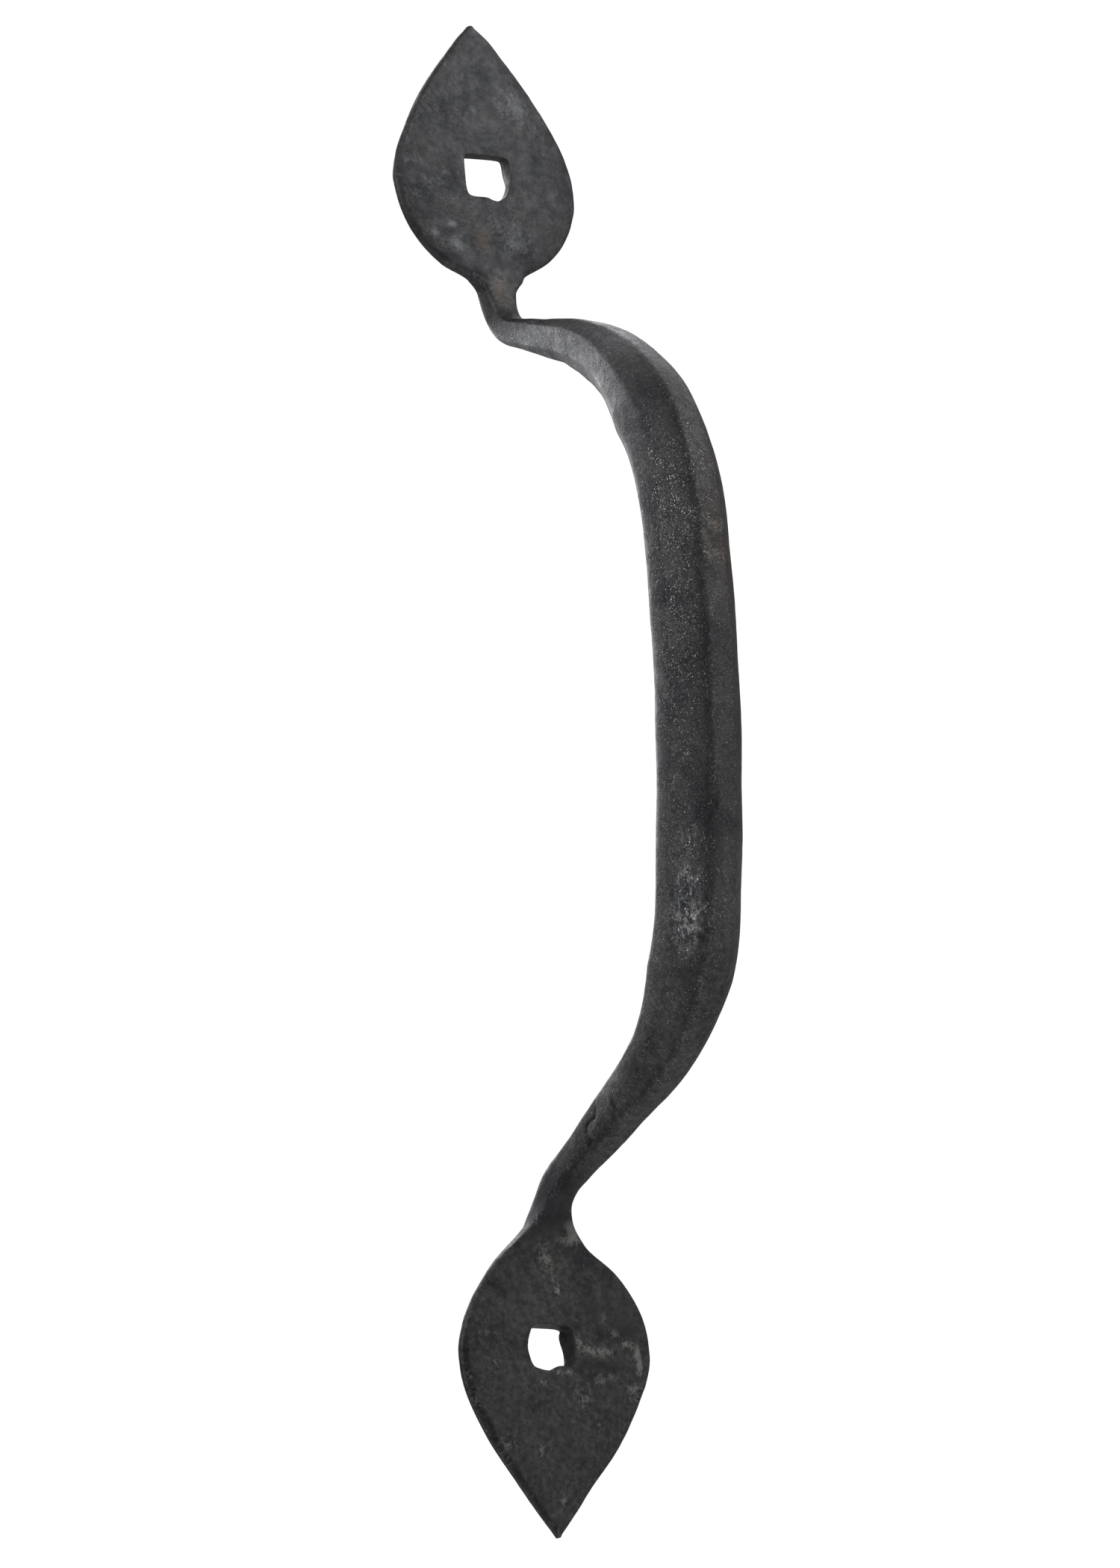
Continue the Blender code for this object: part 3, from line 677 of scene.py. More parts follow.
def section_outlines(sizes, sections, distances):
    """Return each ring's outline as across and outward values, with its edge sheets."""
    left, right, back, front, back_bevel, across, deep, crown, share = sections.T
    corners = np.stack([
        np.stack([right - back_bevel, -back], axis=1),
        np.stack([right, back_bevel - back], axis=1),
        np.stack([right, front - deep], axis=1),
        np.stack([right - across, front], axis=1),
        np.stack([across - left, front], axis=1),
        np.stack([-left, front - deep], axis=1),
        np.stack([-left, back_bevel - back], axis=1),
        np.stack([back_bevel - left, -back], axis=1),
    ], axis=1)
    # Besides the points: how far each is from its nearest edge (ridge), how far past the
    # front's left edge on the bevel (crease), or from that edge on either side (rim)
    columns, ridge, crease, left_flat, rim = [], [], [], [], []
    for index, count in enumerate(SIDE_POINTS):
        start, end = corners[:, index], corners[:, (index + 1) % len(SIDE_POINTS)]
        side = np.linalg.norm(end - start, axis=1)
        far = np.full_like(side, FAR_FROM_EDGE)
        for step in range(count):
            t = step / count
            column = start + (end - start) * t
            if index == FRONT_SIDE:
                column[:, 1] += crown * 4 * t * (1 - t)
            columns.append(column)
            ridge.append(side * min(t, 1 - t))
            crease.append(side * t if index == LEFT_BEVEL else far)
            left_flat.append(np.full_like(side, index in LEFT_FLATS))
            past_rim = {FRONT_SIDE: 1 - t, LEFT_BEVEL: 1.6 * t}.get(index)
            rim.append(far if past_rim is None else side * past_rim)
    bar = smooth_step(share, 0.0, 0.5)
    sheets = [np.stack(each, axis=1) for each in (ridge, crease, left_flat, rim)]
    points, *sheets = evenly_spaced(np.stack(columns, axis=1), sheets, bar)
    grip = smooth_step(np.minimum(distances, distances[-1] - distances), *GRIP_BEGINS)
    leftward = smooth_step(-points[:, :, 0] / left[:, None], 0.45, 0.85) * grip[:, None]
    softness = 1 - bar[:, None] * (1 - leftward) * 0.9
    points = softened(points, softness, EDGE_SOFTENING)

    centre = np.stack([(right - left) / 2, (front - back) / 2], axis=1)[:, None, :]
    reach = np.stack([(right + left) / 2, (front + back) / 2], axis=1)[:, None, :]
    arm = points - centre
    oval = 1 / np.linalg.norm(arm / reach, axis=2)
    around = np.arctan2(arm[:, :, 1], arm[:, :, 0])
    wave = np.sin(math.tau * distances[:, None] / sizes.hammer_pitch + 2.3 * np.sin(2 * around))
    swell = sizes.hammer_depth * (1 + 0.4 * wave) / 2 / np.linalg.norm(arm, axis=2)
    scale = 1 + share[:, None] * (sizes.rounded_share * (oval - 1) - swell)
    return centre + arm * scale[:, :, None], *sheets


def ring_distances(path, sizes):
    """Return the rings' distances along the bar, closer together on the leaves."""
    upper_end = sizes.upper_leaf_length
    lower_start = path.length - sizes.lower_leaf_length
    tip = np.linspace(0.0, 1.0, LEAF_RINGS) ** LEAF_RING_CROWDING
    bar_count = int((lower_start - upper_end) / BAR_RING_STEP)
    return np.concatenate([
        tip * upper_end,
        np.linspace(upper_end, lower_start, bar_count + 2)[1:-1],
        path.length - tip[::-1] * sizes.lower_leaf_length,
    ])


def loft_points(sizes):
    """Return the bar's surface as rings of points, with the sheets that describe them."""
    path = handle_path(sizes)
    distances = ring_distances(path, sizes)
    upper_elbow = path.runs[1][0] + path.runs[1][1] / 2
    lower_elbow = path.length - path.runs[-2][0] - path.runs[-2][1] / 2
    from_end = path.length - distances
    upper = end_sections(
        sizes, UPPER_LEAF_OUTLINE, sizes.upper_leaf_length, sizes.upper_leaf_width,
        sizes.upper_neck, upper_elbow, distances)
    lower = end_sections(
        sizes, LOWER_LEAF_OUTLINE, sizes.lower_leaf_length, sizes.lower_leaf_width,
        sizes.lower_neck, lower_elbow, from_end)
    sections = np.where((distances < from_end)[:, None], upper, lower)
    outlines, *edges = section_outlines(sizes, sections, distances)
    places = np.array([path.at(float(each)) for each in distances])
    across, out = outlines[:, :, 0], outlines[:, :, 1]
    y = places[:, None, 0] + places[:, None, 2] * out
    z = places[:, None, 1] + places[:, None, 3] * out
    z -= sizes.hole_spacing / 2 + sizes.mount_above_hole
    return np.stack([across, y, z], axis=2), sections[:, 8], *edges


# Marks of the hammer and the fire

def hole_heights(sizes):
    """Return the heights of the upper and the lower nail hole."""
    upper = -sizes.mount_above_hole
    return upper, upper - sizes.hole_spacing


def surface_normals(points):
    """Return the outward normal of every point of the rings."""
    around = np.roll(points, -1, axis=1) - np.roll(points, 1, axis=1)
    along = np.gradient(points, axis=0)
    normal = np.cross(around, along)
    length = np.linalg.norm(normal, axis=2, keepdims=True)
    normal /= np.where(length > 0, length, 1.0)
    middle = len(points) // 2
    outwards = np.sum(normal[middle] * (points[middle] - points[middle].mean(axis=0)))
    return normal if outwards > 0 else -normal


def noise_sheet(points, size, depth, shift):
    """Return smooth noise from about -1 to 1 over the points, with features of one size."""
    offset = Vector((shift, 3.1 * shift, -1.7 * shift))
    flat = points.reshape(-1, 3) / size
    values = [noise.fractal(Vector(each) + offset, 1.0, 2.0, depth) for each in flat]
    return np.array(values).reshape(points.shape[:2])


def hammer_dents(points, normal, on_bar):
    """Return the depth of shallow round dents scattered along the bar."""
    rng = np.random.default_rng(DENT_SEED)
    ring_count, point_count = points.shape[:2]
    depth = np.zeros(points.shape[:2])
    rings = rng.integers(LEAF_RINGS, ring_count - LEAF_RINGS, DENT_COUNT)
    columns = rng.integers(0, point_count, DENT_COUNT)
    radii = rng.uniform(*DENT_RADII, DENT_COUNT) * MM
    depths = rng.uniform(*DENT_DEPTHS, DENT_COUNT) * MM
    for ring, column, radius, deep in zip(rings, columns, radii, depths):
        centre = points[ring, column]
        facing = normal @ normal[ring, column]
        away = np.linalg.norm(points - centre, axis=2) / radius
        depth += deep * np.clip(1 - away ** 2, 0, 1) ** 1.5 * np.clip(facing, 0, 1)
    return depth * on_bar


def leaf_marks(points, front, marks, hole_z):
    """Return the height of the named marks on one leaf's front."""
    height = np.zeros(points.shape[:2])
    for x, z, radius, tall in marks:
        away = np.hypot(points[:, :, 0] - x * MM, points[:, :, 2] - hole_z - z * MM)
        height += tall * MM * np.exp(-((away / (radius * MM)) ** 2) * MARK_FALLOFF)
    return height * front


def groove_depth(points, grooves):
    """Return the depth of straight grooves between pairs of places on the bar."""
    depth = np.zeros(points.shape[:2])
    for start, end, half_width, deep in grooves:
        start, end = (np.array((across, -out, -down)) * MM for across, out, down in (start, end))
        along = end - start
        reach = points - start
        t = np.clip(reach @ along / (along @ along), 0, 1)
        away = np.linalg.norm(reach - t[:, :, None] * along, axis=2)
        depth += deep * MM * np.exp(-((away / (half_width * MM)) ** 2))
    return depth


def stain_and_painted_light_sheets(points, is_upper, upper_hole_z, lower_hole_z):
    """Return a sheet per kind of stain and painted light: 0 where there is none, up to about 1.
    """
    sheets = {kind: np.zeros(points.shape[:2]) for kind in STAIN_AND_PAINTED_LIGHT_KINDS}
    x, y, z = np.moveaxis(points, 2, 0) / MM
    near_door = y > -LEAF_STAIN_DEPTH
    for stains, hole_z, where in (
        (UPPER_LEAF_STAINS, upper_hole_z, is_upper),
        (LOWER_LEAF_STAINS, lower_hole_z, ~is_upper),
    ):
        above_hole = z - hole_z / MM
        for kind, rows in stains.items():
            for across, up, half_width, half_height, strength in rows:
                away = ((x - across) / half_width) ** 2 + ((above_hole - up) / half_height) ** 2
                sheets[kind] += strength * np.exp(-STAIN_AND_LIGHT_FALLOFF * away) * where * near_door
    for kind, rows in BAR_STAINS_AND_PAINTED_LIGHT.items():
        for across, out, down, size, length, strength in rows:
            away = ((x - across) / size) ** 2 + ((y + out) / (size * 1.4)) ** 2
            away += ((z + down) / length) ** 2
            sheets[kind] += strength * np.exp(-STAIN_AND_LIGHT_FALLOFF * away)
    return {kind: np.clip(sheet, 0, STRONGEST_STAIN_OR_LIGHT) for kind, sheet in sheets.items()}


def bar_shade(points, normal):
    """Return the bar's painted shade: its left front in places, and the top of the upper arm."""
    down = -points[:, :, 2] / MM
    left_front = np.interp(down, *zip(*SHADE_OF_LEFT_FRONT))
    leftward = smooth_step(-normal[:, :, 0], 0.1, 0.6) * smooth_step(-normal[:, :, 1], 0.0, 0.4)
    upward = smooth_step(normal[:, :, 2], 0.25, 0.7) * smooth_step(normal[:, :, 0], -0.5, -0.1)
    top = 0.9 * smooth_step(-down, -60, -50)
    return left_front * leftward + top * upward


def finished_surface(sizes):
    """Return the hammered rings and the paint sheets for the material."""
    points, share, ridge, crease, left_flat, rim = loft_points(sizes)
    normal = surface_normals(points)
    on_bar = np.broadcast_to(smooth_step(share, 0.02, 0.4)[:, None], ridge.shape)
    on_leaf = 1 - np.broadcast_to(smooth_step(share, 0.0, 0.12)[:, None], ridge.shape)
    front = on_leaf * smooth_step(-normal[:, :, 1], 0.2, 0.7)
    back = on_leaf * smooth_step(normal[:, :, 1], 0.5, 0.9)

    broad = noise_sheet(points, 0.011, 2, 4.0)
    middling = noise_sheet(points, 0.0042, 3, 9.0)
    fine = noise_sheet(points, 0.0016, 3, 21.0)
    flakes = noise_sheet(points * (1.0, 1.0, 0.6), 0.0010, 2, 33.0)

    upper_hole_z, lower_hole_z = hole_heights(sizes)
    is_upper = points[:, :, 2] > (upper_hole_z + lower_hole_z) / 2
    sheets = stain_and_painted_light_sheets(points, is_upper, upper_hole_z, lower_hole_z)
    grooves = groove_depth(points, BAR_GROOVES)
    height = broad * BROAD_WAVES * front
    height += middling * (BAR_RIPPLES * on_bar + LEAF_RIPPLES * front)
    height += fine * (FINE_GRAIN + EXTRA_LEAF_GRAIN * on_leaf)
    height += flakes * FLAKES * sheets.pop("flaky")
    height += MARK_GAIN * leaf_marks(points, front * is_upper, UPPER_LEAF_MARKS, upper_hole_z)
    height += MARK_GAIN * leaf_marks(points, front * ~is_upper, LOWER_LEAF_MARKS, lower_hole_z)
    height -= hammer_dents(points, normal, on_bar)
    height -= grooves
    height -= BACK_HOLLOWS * back * (1 + fine)
    points = points + normal * height[:, :, None]

    low, high = (np.array(corner) for corner in CAD_BOX)
    points = np.clip(points, low, high)

    # Paint for worn edges and cracks, painted shade along the crease of the bar's front, on the
    # leaves' walls and in the line inside their left edge, and the bar's painted highlights and
    # shade
    worn_places = smooth_step(middling + 0.4 * fine, -0.35, 0.55)
    sheets["wear"] = (1 - smooth_step(ridge, 0.1 * MM, 1.1 * MM)) * worn_places
    sheets["crack"] = np.clip(grooves / CRACK_DEPTH, 0, 1)
    sheets["crease"] = np.exp(-((crease / MM - 0.9) / 0.9) ** 2) * on_bar
    # Painted shade on the leaves' walls, lighter along the lower left rims, and a painted shade
    # line along the bevel inside the lower left edges
    above_hole = points[:, :, 2] - np.where(is_upper, upper_hole_z, lower_hole_z)
    lower_left = smooth_step(-above_hole, -6 * MM, 3 * MM) * on_leaf * (points[:, :, 0] < 0)
    bevel = np.exp(-((crease / MM - 0.35) / 0.5) ** 2) * smooth_step(-above_hole, 6 * MM, 13 * MM)
    bevel = np.maximum(bevel, 1.1 * np.exp(-(rim / (0.7 * MM)) ** 2)) * lower_left
    bevel = bevel * np.where(is_upper, smooth_step(above_hole, -19 * MM, -16.5 * MM), 1.0)
    walls = on_leaf * (1 - front) * (1 - back) * (1 - 0.8 * lower_left)
    sheets["free_of_wall_shade"] = 1 - np.clip(walls + 0.8 * bevel, 0, 1)
    # Painted highlight on the bar's left flats near the upper bend
    highlight_places = np.interp(-points[:, :, 2] / MM, *zip(*HIGHLIGHT_OF_LEFT_FLATS))
    sheets["left_flat_highlight"] = left_flat * highlight_places * on_bar
    sheets["shade"] = np.clip(bar_shade(points, normal), 0, 1) * on_bar
    sheets["bar"] = on_bar
    sheets["lower"] = smooth_step(-points[:, :, 2], 0.12, 0.22)
    return points, sheets


def ring_mesh(name, points, sheets):
    """Return a closed mesh through rings of points, with the sheets as point attributes."""
    rings, around = points.shape[:2]
    grid = np.arange(rings * around).reshape(rings, around)
    faces = np.stack([
        grid[:-1], np.roll(grid, -1, axis=1)[:-1], np.roll(grid, -1, axis=1)[1:], grid[1:],
    ], axis=2).reshape(-1, 4)
    ends = [grid[0][::-1].tolist(), grid[-1].tolist()]
    mesh = bpy.data.meshes.new(name)
    mesh.from_pydata(points.reshape(-1, 3).tolist(), [], faces.tolist() + ends)
    for label, sheet in sheets.items():
        attribute = mesh.attributes.new(label, "FLOAT", "POINT")
        attribute.data.foreach_set("value", np.ascontiguousarray(sheet, dtype=np.float32).ravel())
    bm = bmesh.new()
    bm.from_mesh(mesh)
    bmesh.ops.recalc_face_normals(bm, faces=bm.faces)
    bm.to_mesh(mesh)
    bm.free()
    return mesh


# Nail holes

def rounded_outline(outline, turns):
    """Cut the corners of a closed outline, so that a punched hole has soft corners."""
    points = [Vector(each) for each in outline]
    for _ in range(turns):
        softer = []
        for index, point in enumerate(points):
            following = points[(index + 1) % len(points)]
            softer.append(point.lerp(following, 0.2))
            softer.append(point.lerp(following, 0.8))
        points = softer
    return points


def punch(name, front, back, size, thickness, hole_z):
    """Return a punch that runs from the hole's front outline to its torn back outline."""
    past = 2 * MM
    levels = (
        (-thickness - past, 0.0),
        (-thickness - 0.1 * MM, 0.0),
        (-thickness * 0.45, 0.12),
        (-thickness * 0.22, 0.8),
        (0.0, 1.0),
        (past, 1.0),
    )
    ends = [rounded_outline(each, 2) for each in (front, back)]
    bm = bmesh.new()
    rings = []
    for y, torn in levels:
        rings.append([
            bm.verts.new((
                (a.x + (b.x - a.x) * torn) * size[0] / 2,
                y,
                hole_z + (a.y + (b.y - a.y) * torn) * size[1] / 2,
            ))
            for a, b in zip(*ends)
        ])
    for ring, following in zip(rings, rings[1:]):
        for index in range(len(ring)):
            after = (index + 1) % len(ring)
            bm.faces.new((ring[index], ring[after], following[after], following[index]))
    bm.faces.new(list(reversed(rings[0])))
    bm.faces.new(rings[-1])
    bmesh.ops.recalc_face_normals(bm, faces=bm.faces)
    mesh = bpy.data.meshes.new(name)
    bm.to_mesh(mesh)
    bm.free()
    return bpy.data.objects.new(name, mesh)


def punch_through(bar, tool):
    """Cut the punch's shape out of the bar and take the punch away."""
    bpy.context.collection.objects.link(tool)
    cutter = bar.modifiers.new(tool.name, "BOOLEAN")
    cutter.operation = "DIFFERENCE"
    cutter.solver = "EXACT"
    cutter.object = tool
    view = bpy.context.evaluated_depsgraph_get()
    cut_mesh = bpy.data.meshes.new_from_object(bar.evaluated_get(view))
    bar.modifiers.clear()
    bar.data = cut_mesh
    bpy.data.objects.remove(tool, do_unlink=True)


# Material

def add_node(tree, kind, **values):
    """Add a node and set its named inputs and properties."""
    node = tree.nodes.new(kind)
    for key, value in values.items():
        if key in node.inputs:
            node.inputs[key].default_value = value
        else:
            setattr(node, key, value)
    return node


def noise_node(tree, place, scale, detail, rough):
    """Add a noise texture with features of 1/scale metres."""
    node = add_node(tree, "ShaderNodeTexNoise", Scale=scale, Detail=detail, Roughness=rough)
    tree.links.new(place, node.inputs["Vector"])
    return node.outputs["Fac"]


def stretched(tree, place, factors):
    """Stretch the place, so that a texture's features grow longer one way."""
    node = add_node(tree, "ShaderNodeMapping", Scale=factors)
    tree.links.new(place, node.inputs["Vector"])
    return node.outputs["Vector"]


def ranged(tree, value, low, high, new_low=0.0, new_high=1.0):
    """Map a value smoothly from one range to another."""
    node = add_node(tree, "ShaderNodeMapRange", interpolation_type="SMOOTHSTEP")
    tree.links.new(value, node.inputs["Value"])
    limits = {"From Min": low, "From Max": high, "To Min": new_low, "To Max": new_high}
    for socket, number in limits.items():
        node.inputs[socket].default_value = number
    return node.outputs["Result"]


def calculate(tree, operation, first, second):
    """Add a math node; either side may be a number or a socket."""
    node = add_node(tree, "ShaderNodeMath", operation=operation)
    for socket, value in zip(node.inputs, (first, second)):
        if isinstance(value, float):
            socket.default_value = value
        else:
            tree.links.new(value, socket)
    return node.outputs["Value"]


def times(tree, first, second):
    """Multiply two values."""
    return calculate(tree, "MULTIPLY", first, second)


def blend_colour(tree, share, first, second):
    """Mix two colours; either may be a plain colour or a socket."""
    node = add_node(tree, "ShaderNodeMix", data_type="RGBA")
    tree.links.new(share, node.inputs["Factor"])
    for name, value in (("A", first), ("B", second)):
        socket = [each for each in node.inputs if each.name == name and each.type == "RGBA"][0]
        if isinstance(value, bpy.types.NodeSocket):
            tree.links.new(value, socket)
        else:
            socket.default_value = (*value, 1.0)
    return [each for each in node.outputs if each.type == "RGBA"][0]


def painted(tree, label):
    """Read a sheet of the mesh by its name."""
    return add_node(tree, "ShaderNodeAttribute", attribute_name=label).outputs["Fac"]


def scaled_sum(tree, *parts):
    """Return the sum of pairs of a value and its weight."""
    total = 0.0
    for value, weight in parts:
        if isinstance(value, float):
            total = calculate(tree, "ADD", total, value * weight)
        else:
            total = calculate(tree, "ADD", times(tree, value, weight), total)
    return total


def toned(tree, share, colour, strength):
    """Multiply a colour by a strength where the share is high."""
    lighter = add_node(tree, "ShaderNodeVectorMath", operation="SCALE", Scale=strength)
    tree.links.new(colour, lighter.inputs["Vector"])
    return blend_colour(tree, share, colour, lighter.outputs["Vector"])


def black_iron(finish):
    """Return the forged iron's mottled, scaled and worn finish, with painted light and shade."""
    material = bpy.data.materials.new("forged_black_iron")
    material.use_nodes = True
    tree = material.node_tree
    shader = tree.nodes["Principled BSDF"]
    shader.inputs["Metallic"].default_value = finish.metallic
    shader.inputs["Specular Tint"].default_value = (*finish.edge_tint, 1.0)
    place = add_node(tree, "ShaderNodeTexCoord").outputs["Object"]

    mottling = noise_node(tree, place, 150.0, 5.0, 0.6)
    clouds = noise_node(tree, place, 420.0, 5.0, 0.6)
    crust = noise_node(tree, place, 900.0, 4.0, 0.65)
    grain = noise_node(tree, place, 1900.0, 3.0, 0.65)
    sand = noise_node(tree, place, 4200.0, 1.0, 0.5)
    grainy = scaled_sum(tree, (painted(tree, "bar"), 0.45), (painted(tree, "grain"), 0.75))
    lower = painted(tree, "lower")

    # Bare mottled iron, bluish above and neutral below
    iron = blend_colour(tree, lower, finish.iron_colour, finish.lower_iron_colour)
    clean = ranged(tree, mottling, 0.32, 0.54, 0.25, 1.0)
    colour = blend_colour(tree, clean, finish.soot_colour, iron)
    mottled = scaled_sum(tree, (lower, 0.65), (1.0, 0.55))
    lighter = times(tree, ranged(tree, crust, 0.48, 0.68), mottled)
    darker = times(tree, ranged(tree, crust, 0.34, 0.50, 1.0, 0.0), mottled)
    colour = toned(tree, lighter, colour, 1.40)
    colour = toned(tree, darker, colour, 0.70)
    colour = toned(tree, ranged(tree, grain, 0.32, 0.50, 1.0, 0.0), colour, 0.72)

    # Stains with crusty edges
    broken = scaled_sum(tree, (clouds, 0.7), (crust, 1.4), (grain, 1.5))
    pale = blend_colour(tree, lower, finish.scale_colour, finish.crust_colour)
    for kind, tint, most in (
        ("pale", pale, scaled_sum(tree, (lower, 0.40), (1.0, 0.42))),
        ("brown", finish.brown_colour, 0.70),
        ("dark", finish.soot_colour, 0.75),
    ):
        share = scaled_sum(tree, (painted(tree, kind), 1.0), (broken, 1.0))
        share = times(tree, ranged(tree, share, 2.00, 2.70), most)
        colour = blend_colour(tree, share, colour, tint)

    # Sandy grain, and tiny specks on the bar painted bright as glints
    bright_grain = times(tree, grainy, ranged(tree, sand, 0.50, 0.66))
    dark_grain = times(tree, grainy, ranged(tree, sand, 0.34, 0.50, 1.0, 0.0))
    colour = toned(tree, times(tree, dark_grain, 0.75), colour, 0.45)
    colour = toned(tree, times(tree, bright_grain, 0.75), colour, 2.1)
    specks = scaled_sum(tree, (sand, 1.0), (clouds, 0.35), (painted(tree, "grain"), 0.035))
    specks = times(tree, ranged(tree, specks, 0.890, 0.925), grainy)
    colour = blend_colour(tree, times(tree, specks, 0.85), colour, finish.glint_speck_colour)

    # Painted highlights, dark cracks, a warm tint, and painted shade along the crease,
    # on the leaves' walls and on the bar's shaded flats
    colour = toned(tree, painted(tree, "painted_highlight"), colour, 1.65)
    # Painted highlight on the bar's left flats
    colour = toned(tree, painted(tree, "left_flat_highlight"), colour, 1.75)
    colour = toned(tree, painted(tree, "crack"), colour, 0.35)
    warmer = add_node(tree, "ShaderNodeVectorMath", operation="MULTIPLY")
    warmer.inputs[1].default_value = finish.warm_tint
    tree.links.new(colour, warmer.inputs[0])
    colour = blend_colour(tree, painted(tree, "warm"), colour, warmer.outputs["Vector"])
    # Painted shade along the crease between the grip's front and its left flat, broken by the
    # clouds
    crease_shade = times(tree, painted(tree, "crease"), ranged(tree, clouds, 0.36, 0.60, 1.0, 0.35))
    colour = toned(tree, crease_shade, colour, 0.50)
    # Painted shade on the leaves' walls and in the line inside their lower left edge, stronger on
    # the lower leaf
    walls = calculate(tree, "SUBTRACT", 1.0, painted(tree, "free_of_wall_shade"))
    walls = times(tree, walls, scaled_sum(tree, (lower, 0.55), (1.0, 0.45)))
    colour = toned(tree, walls, colour, 0.30)
    # Painted shade on the bar's left front flats and on the top of the upper arm
    colour = toned(tree, painted(tree, "shade"), colour, 0.62)

    # Worn ridges, and the shiny hammered patch: less rough, more bumpy, and with a painted sheen
    worn = times(tree, painted(tree, "wear"), ranged(tree, grain, 0.50, 0.68, 0.0, 0.45))
    colour = blend_colour(tree, worn, colour, finish.worn_colour)
    glossy = painted(tree, "glossy")
    streaks = noise_node(tree, stretched(tree, place, (1.0, 1.0, 0.45)), 1500.0, 3.0, 0.6)
    # Painted sheen: bright streaky flecks in the colour of the shiny patch
    painted_sheen_flecks = times(tree, glossy, ranged(tree, streaks, 0.42, 0.67))
    colour = toned(tree, painted_sheen_flecks, colour, 7.0)
    tree.links.new(colour, shader.inputs["Base Color"])

    rough = ranged(tree, clouds, 0.35, 0.65, 0.50, 0.64)
    rough = scaled_sum(tree, (rough, 1.0), (worn, -0.25), (glossy, -0.22), (specks, -0.12))
    tree.links.new(rough, shader.inputs["Roughness"])

    relief = scaled_sum(tree, (sand, 0.22), (grain, 0.55))
    relief = times(tree, relief, scaled_sum(tree, (grainy, 0.9), (glossy, 2.4), (1.0, 0.22)))
    wrinkles = times(tree, crust, scaled_sum(tree, (glossy, 1.8), (1.0, 0.35)))
    relief = scaled_sum(tree, (relief, 1.0), (wrinkles, 1.0), (clouds, 0.35))
    bump = add_node(tree, "ShaderNodeBump", Strength=1.0, Distance=finish.scale_relief)
    tree.links.new(relief, bump.inputs["Height"])
    tree.links.new(bump.outputs["Normal"], shader.inputs["Normal"])
    return material


def floor_material(settings):
    """Return the floor's matt pale material, with its faint glow."""
    material = bpy.data.materials.new("pale_floor")
    material.use_nodes = True
    inputs = material.node_tree.nodes["Principled BSDF"].inputs
    inputs["Base Color"].default_value = (*settings.floor_colour, 1.0)
    inputs["Roughness"].default_value = 0.9
    inputs["Emission Color"].default_value = (*settings.floor_colour, 1.0)
    inputs["Emission Strength"].default_value = settings.floor_glow
    return material


def backdrop_material(settings):
    """Return the backdrop's evenly bright white material."""
    material = bpy.data.materials.new("white_backdrop")
    material.use_nodes = True
    tree = material.node_tree
    glow = add_node(tree, "ShaderNodeEmission", Strength=BACKDROP_STRENGTH)
    glow.inputs["Color"].default_value = (*settings.backdrop_colour, 1.0)
    tree.links.new(glow.outputs["Emission"], tree.nodes["Material Output"].inputs["Surface"])
    return material


# Operators

class OBJECT_OT_forged_handle(bpy.types.Operator):
    """Build the forged handle in place of its CAD node"""

    bl_idname = "object.forged_handle_build"
    bl_label = "Build Forged Handle"
    bl_options = {"REGISTER", "UNDO"}

    def execute(self, context):
        sizes = context.scene.handle_sizes
        points, sheets = finished_surface(sizes)
        mesh = ring_mesh("hammered_handle", points, sheets)
        bar = bpy.data.objects.new("hammered_handle", mesh)
        context.collection.objects.link(bar)
        upper_z, lower_z = hole_heights(sizes)
        for name, front, back, size, hole_z in (
            ("upper_punch", UPPER_HOLE_FRONT, UPPER_HOLE_BACK, sizes.upper_hole, upper_z),
            ("lower_punch", LOWER_HOLE_FRONT, LOWER_HOLE_BACK, sizes.lower_hole, lower_z),
        ):
            tool = punch(name, front, back, size, sizes.leaf_thickness, hole_z)
            punch_through(bar, tool)
        if len(bar.data.polygons) < FEWEST_FACES:
            raise RuntimeError("the nail holes could not be cut")
        bar.data.materials.clear()
        bar.data.materials.append(black_iron(context.scene.iron_finish))
        bar.data.shade_smooth()
        bar.data.set_sharp_from_angle(angle=SHARP_ANGLE)
        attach(bar, "root")
        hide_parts("forged_handle")
        return {"FINISHED"}


def direction(azimuth, elevation):
    """Return the direction at an angle round from the front and an angle up from level."""
    return Vector((
        math.sin(azimuth) * math.cos(elevation),
        -math.cos(azimuth) * math.cos(elevation),
        math.sin(elevation),
    ))


def place_camera(settings):
    """Make the scene's camera at the viewing angle, with no depth of field."""
    back = direction(settings.camera_azimuth, settings.camera_elevation)
    upright = (-back).to_track_quat("-Z", "Y").to_matrix()
    turned = upright @ Matrix.Rotation(settings.camera_roll, 3, "Z")
    data = bpy.data.cameras.new("camera")
    data.sensor_width = SENSOR_WIDTH
    data.lens = settings.focal_length
    data.clip_start, data.clip_end = CLIP_START, CLIP_END
    camera = bpy.data.objects.new("camera", data)
    camera.matrix_world = turned.to_4x4()
    camera.location = Vector(settings.camera_aim) + back * settings.camera_distance
    bpy.context.collection.objects.link(camera)
    bpy.context.scene.camera = camera


def soft_light(name, power, azimuth, elevation, distance, size, aim):
    """Add a soft square light that faces its aim, from angles in degrees round it."""
    away = direction(math.radians(azimuth), math.radians(elevation))
    data = bpy.data.lights.new(name, "AREA")
    data.shape = "SQUARE"
    data.size = size
    data.energy = power
    light = bpy.data.objects.new(name, data)
    light.location = Vector(aim) + away * distance
    light.rotation_mode = "QUATERNION"
    light.rotation_quaternion = (-away).to_track_quat("-Z", "Y")
    light.visible_camera = False
    bpy.context.collection.objects.link(light)


def studio_piece(name, bm, material):
    """Turn a built mesh into an object of the studio."""
    mesh = bpy.data.meshes.new(name)
    bm.to_mesh(mesh)
    bm.free()
    mesh.materials.append(material)
    piece = bpy.data.objects.new(name, mesh)
    bpy.context.collection.objects.link(piece)
    return piece


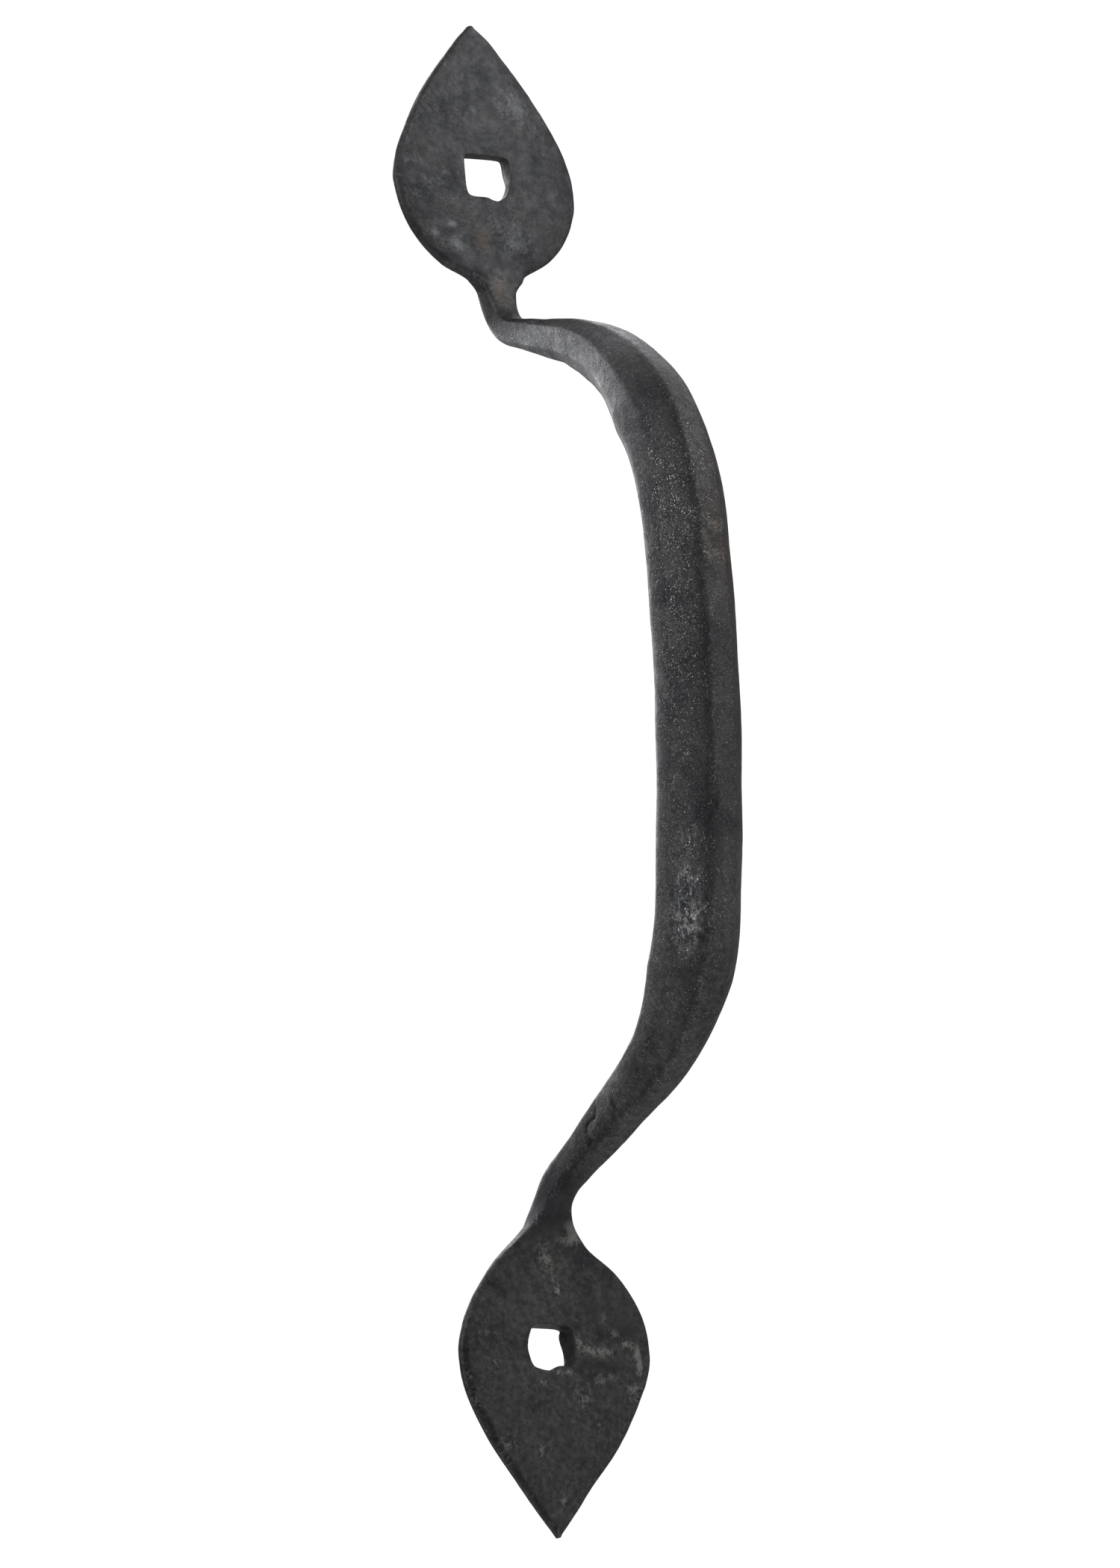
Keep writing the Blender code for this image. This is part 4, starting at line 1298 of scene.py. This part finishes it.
class OBJECT_OT_handle_studio(bpy.types.Operator):
    """Build the pale floor, the white backdrop, the soft lights and the camera"""

    bl_idname = "object.handle_studio_build"
    bl_label = "Build Studio"
    bl_options = {"REGISTER", "UNDO"}

    def execute(self, context):
        settings = context.scene.studio_settings
        place_camera(settings)

        bm = bmesh.new()
        bmesh.ops.create_grid(bm, x_segments=1, y_segments=1, size=FLOOR_HALF_WIDTH)
        floor = studio_piece("floor", bm, floor_material(settings))
        floor.location.z = -settings.floor_depth

        bm = bmesh.new()
        bmesh.ops.create_icosphere(bm, subdivisions=4, radius=BACKDROP_RADIUS)
        backdrop = studio_piece("backdrop", bm, backdrop_material(settings))
        for ray in ("diffuse", "glossy", "transmission", "volume_scatter", "shadow"):
            setattr(backdrop, f"visible_{ray}", False)

        world = bpy.data.worlds.new("room")
        world.use_nodes = True
        room = world.node_tree.nodes["Background"]
        room.inputs["Color"].default_value = (1.0, 1.0, 1.0, 1.0)
        room.inputs["Strength"].default_value = settings.room_light
        context.scene.world = world
        context.scene.view_settings.view_transform = "Standard"

        far = (LIGHT_DISTANCE, LIGHT_SIZE, LIT_MIDDLE)
        near = (NEAR_LIGHT_DISTANCE, NEAR_LIGHT_SIZE, LIT_SHOULDER)
        soft_light("left", settings.left_light, -90, 25, *far)
        soft_light("left_front", settings.left_front_light, -60, 25, *far)
        soft_light("back", settings.back_light, 180, 25, *far)
        soft_light("high_back", settings.high_back_light, 150, 55, *far)
        soft_light("near", settings.near_light, 40, 35, *near)
        soft_light("front", settings.front_light, 30, -5, *far)
        return {"FINISHED"}


class VIEW3D_PT_pull_handle(bpy.types.Panel):
    """Sizes, finish and studio of the pull handle"""

    bl_label = "Pull Handle"
    bl_idname = "VIEW3D_PT_pull_handle"
    bl_space_type = "VIEW_3D"
    bl_region_type = "UI"
    bl_category = "Pull Handle"

    def draw(self, context):
        scene = context.scene
        for group, operator in (
            (scene.handle_sizes, OBJECT_OT_forged_handle.bl_idname),
            (scene.iron_finish, None),
            (scene.studio_settings, OBJECT_OT_handle_studio.bl_idname),
        ):
            box = self.layout.box()
            for name in group.__annotations__:
                box.prop(group, name)
            if operator:
                box.operator(operator)


CLASSES = (
    HandleSizes,
    IronFinish,
    StudioSettings,
    OBJECT_OT_forged_handle,
    OBJECT_OT_handle_studio,
    VIEW3D_PT_pull_handle,
)


def register():
    for each in CLASSES:
        bpy.utils.register_class(each)
    bpy.types.Scene.handle_sizes = PointerProperty(type=HandleSizes)
    bpy.types.Scene.iron_finish = PointerProperty(type=IronFinish)
    bpy.types.Scene.studio_settings = PointerProperty(type=StudioSettings)


def unregister():
    del bpy.types.Scene.studio_settings
    del bpy.types.Scene.iron_finish
    del bpy.types.Scene.handle_sizes
    for each in reversed(CLASSES):
        bpy.utils.unregister_class(each)


def main():
    """Build the studio and the handle."""
    register()
    bpy.ops.object.handle_studio_build()
    bpy.ops.object.forged_handle_build()


if __name__ == "__main__":
    main()
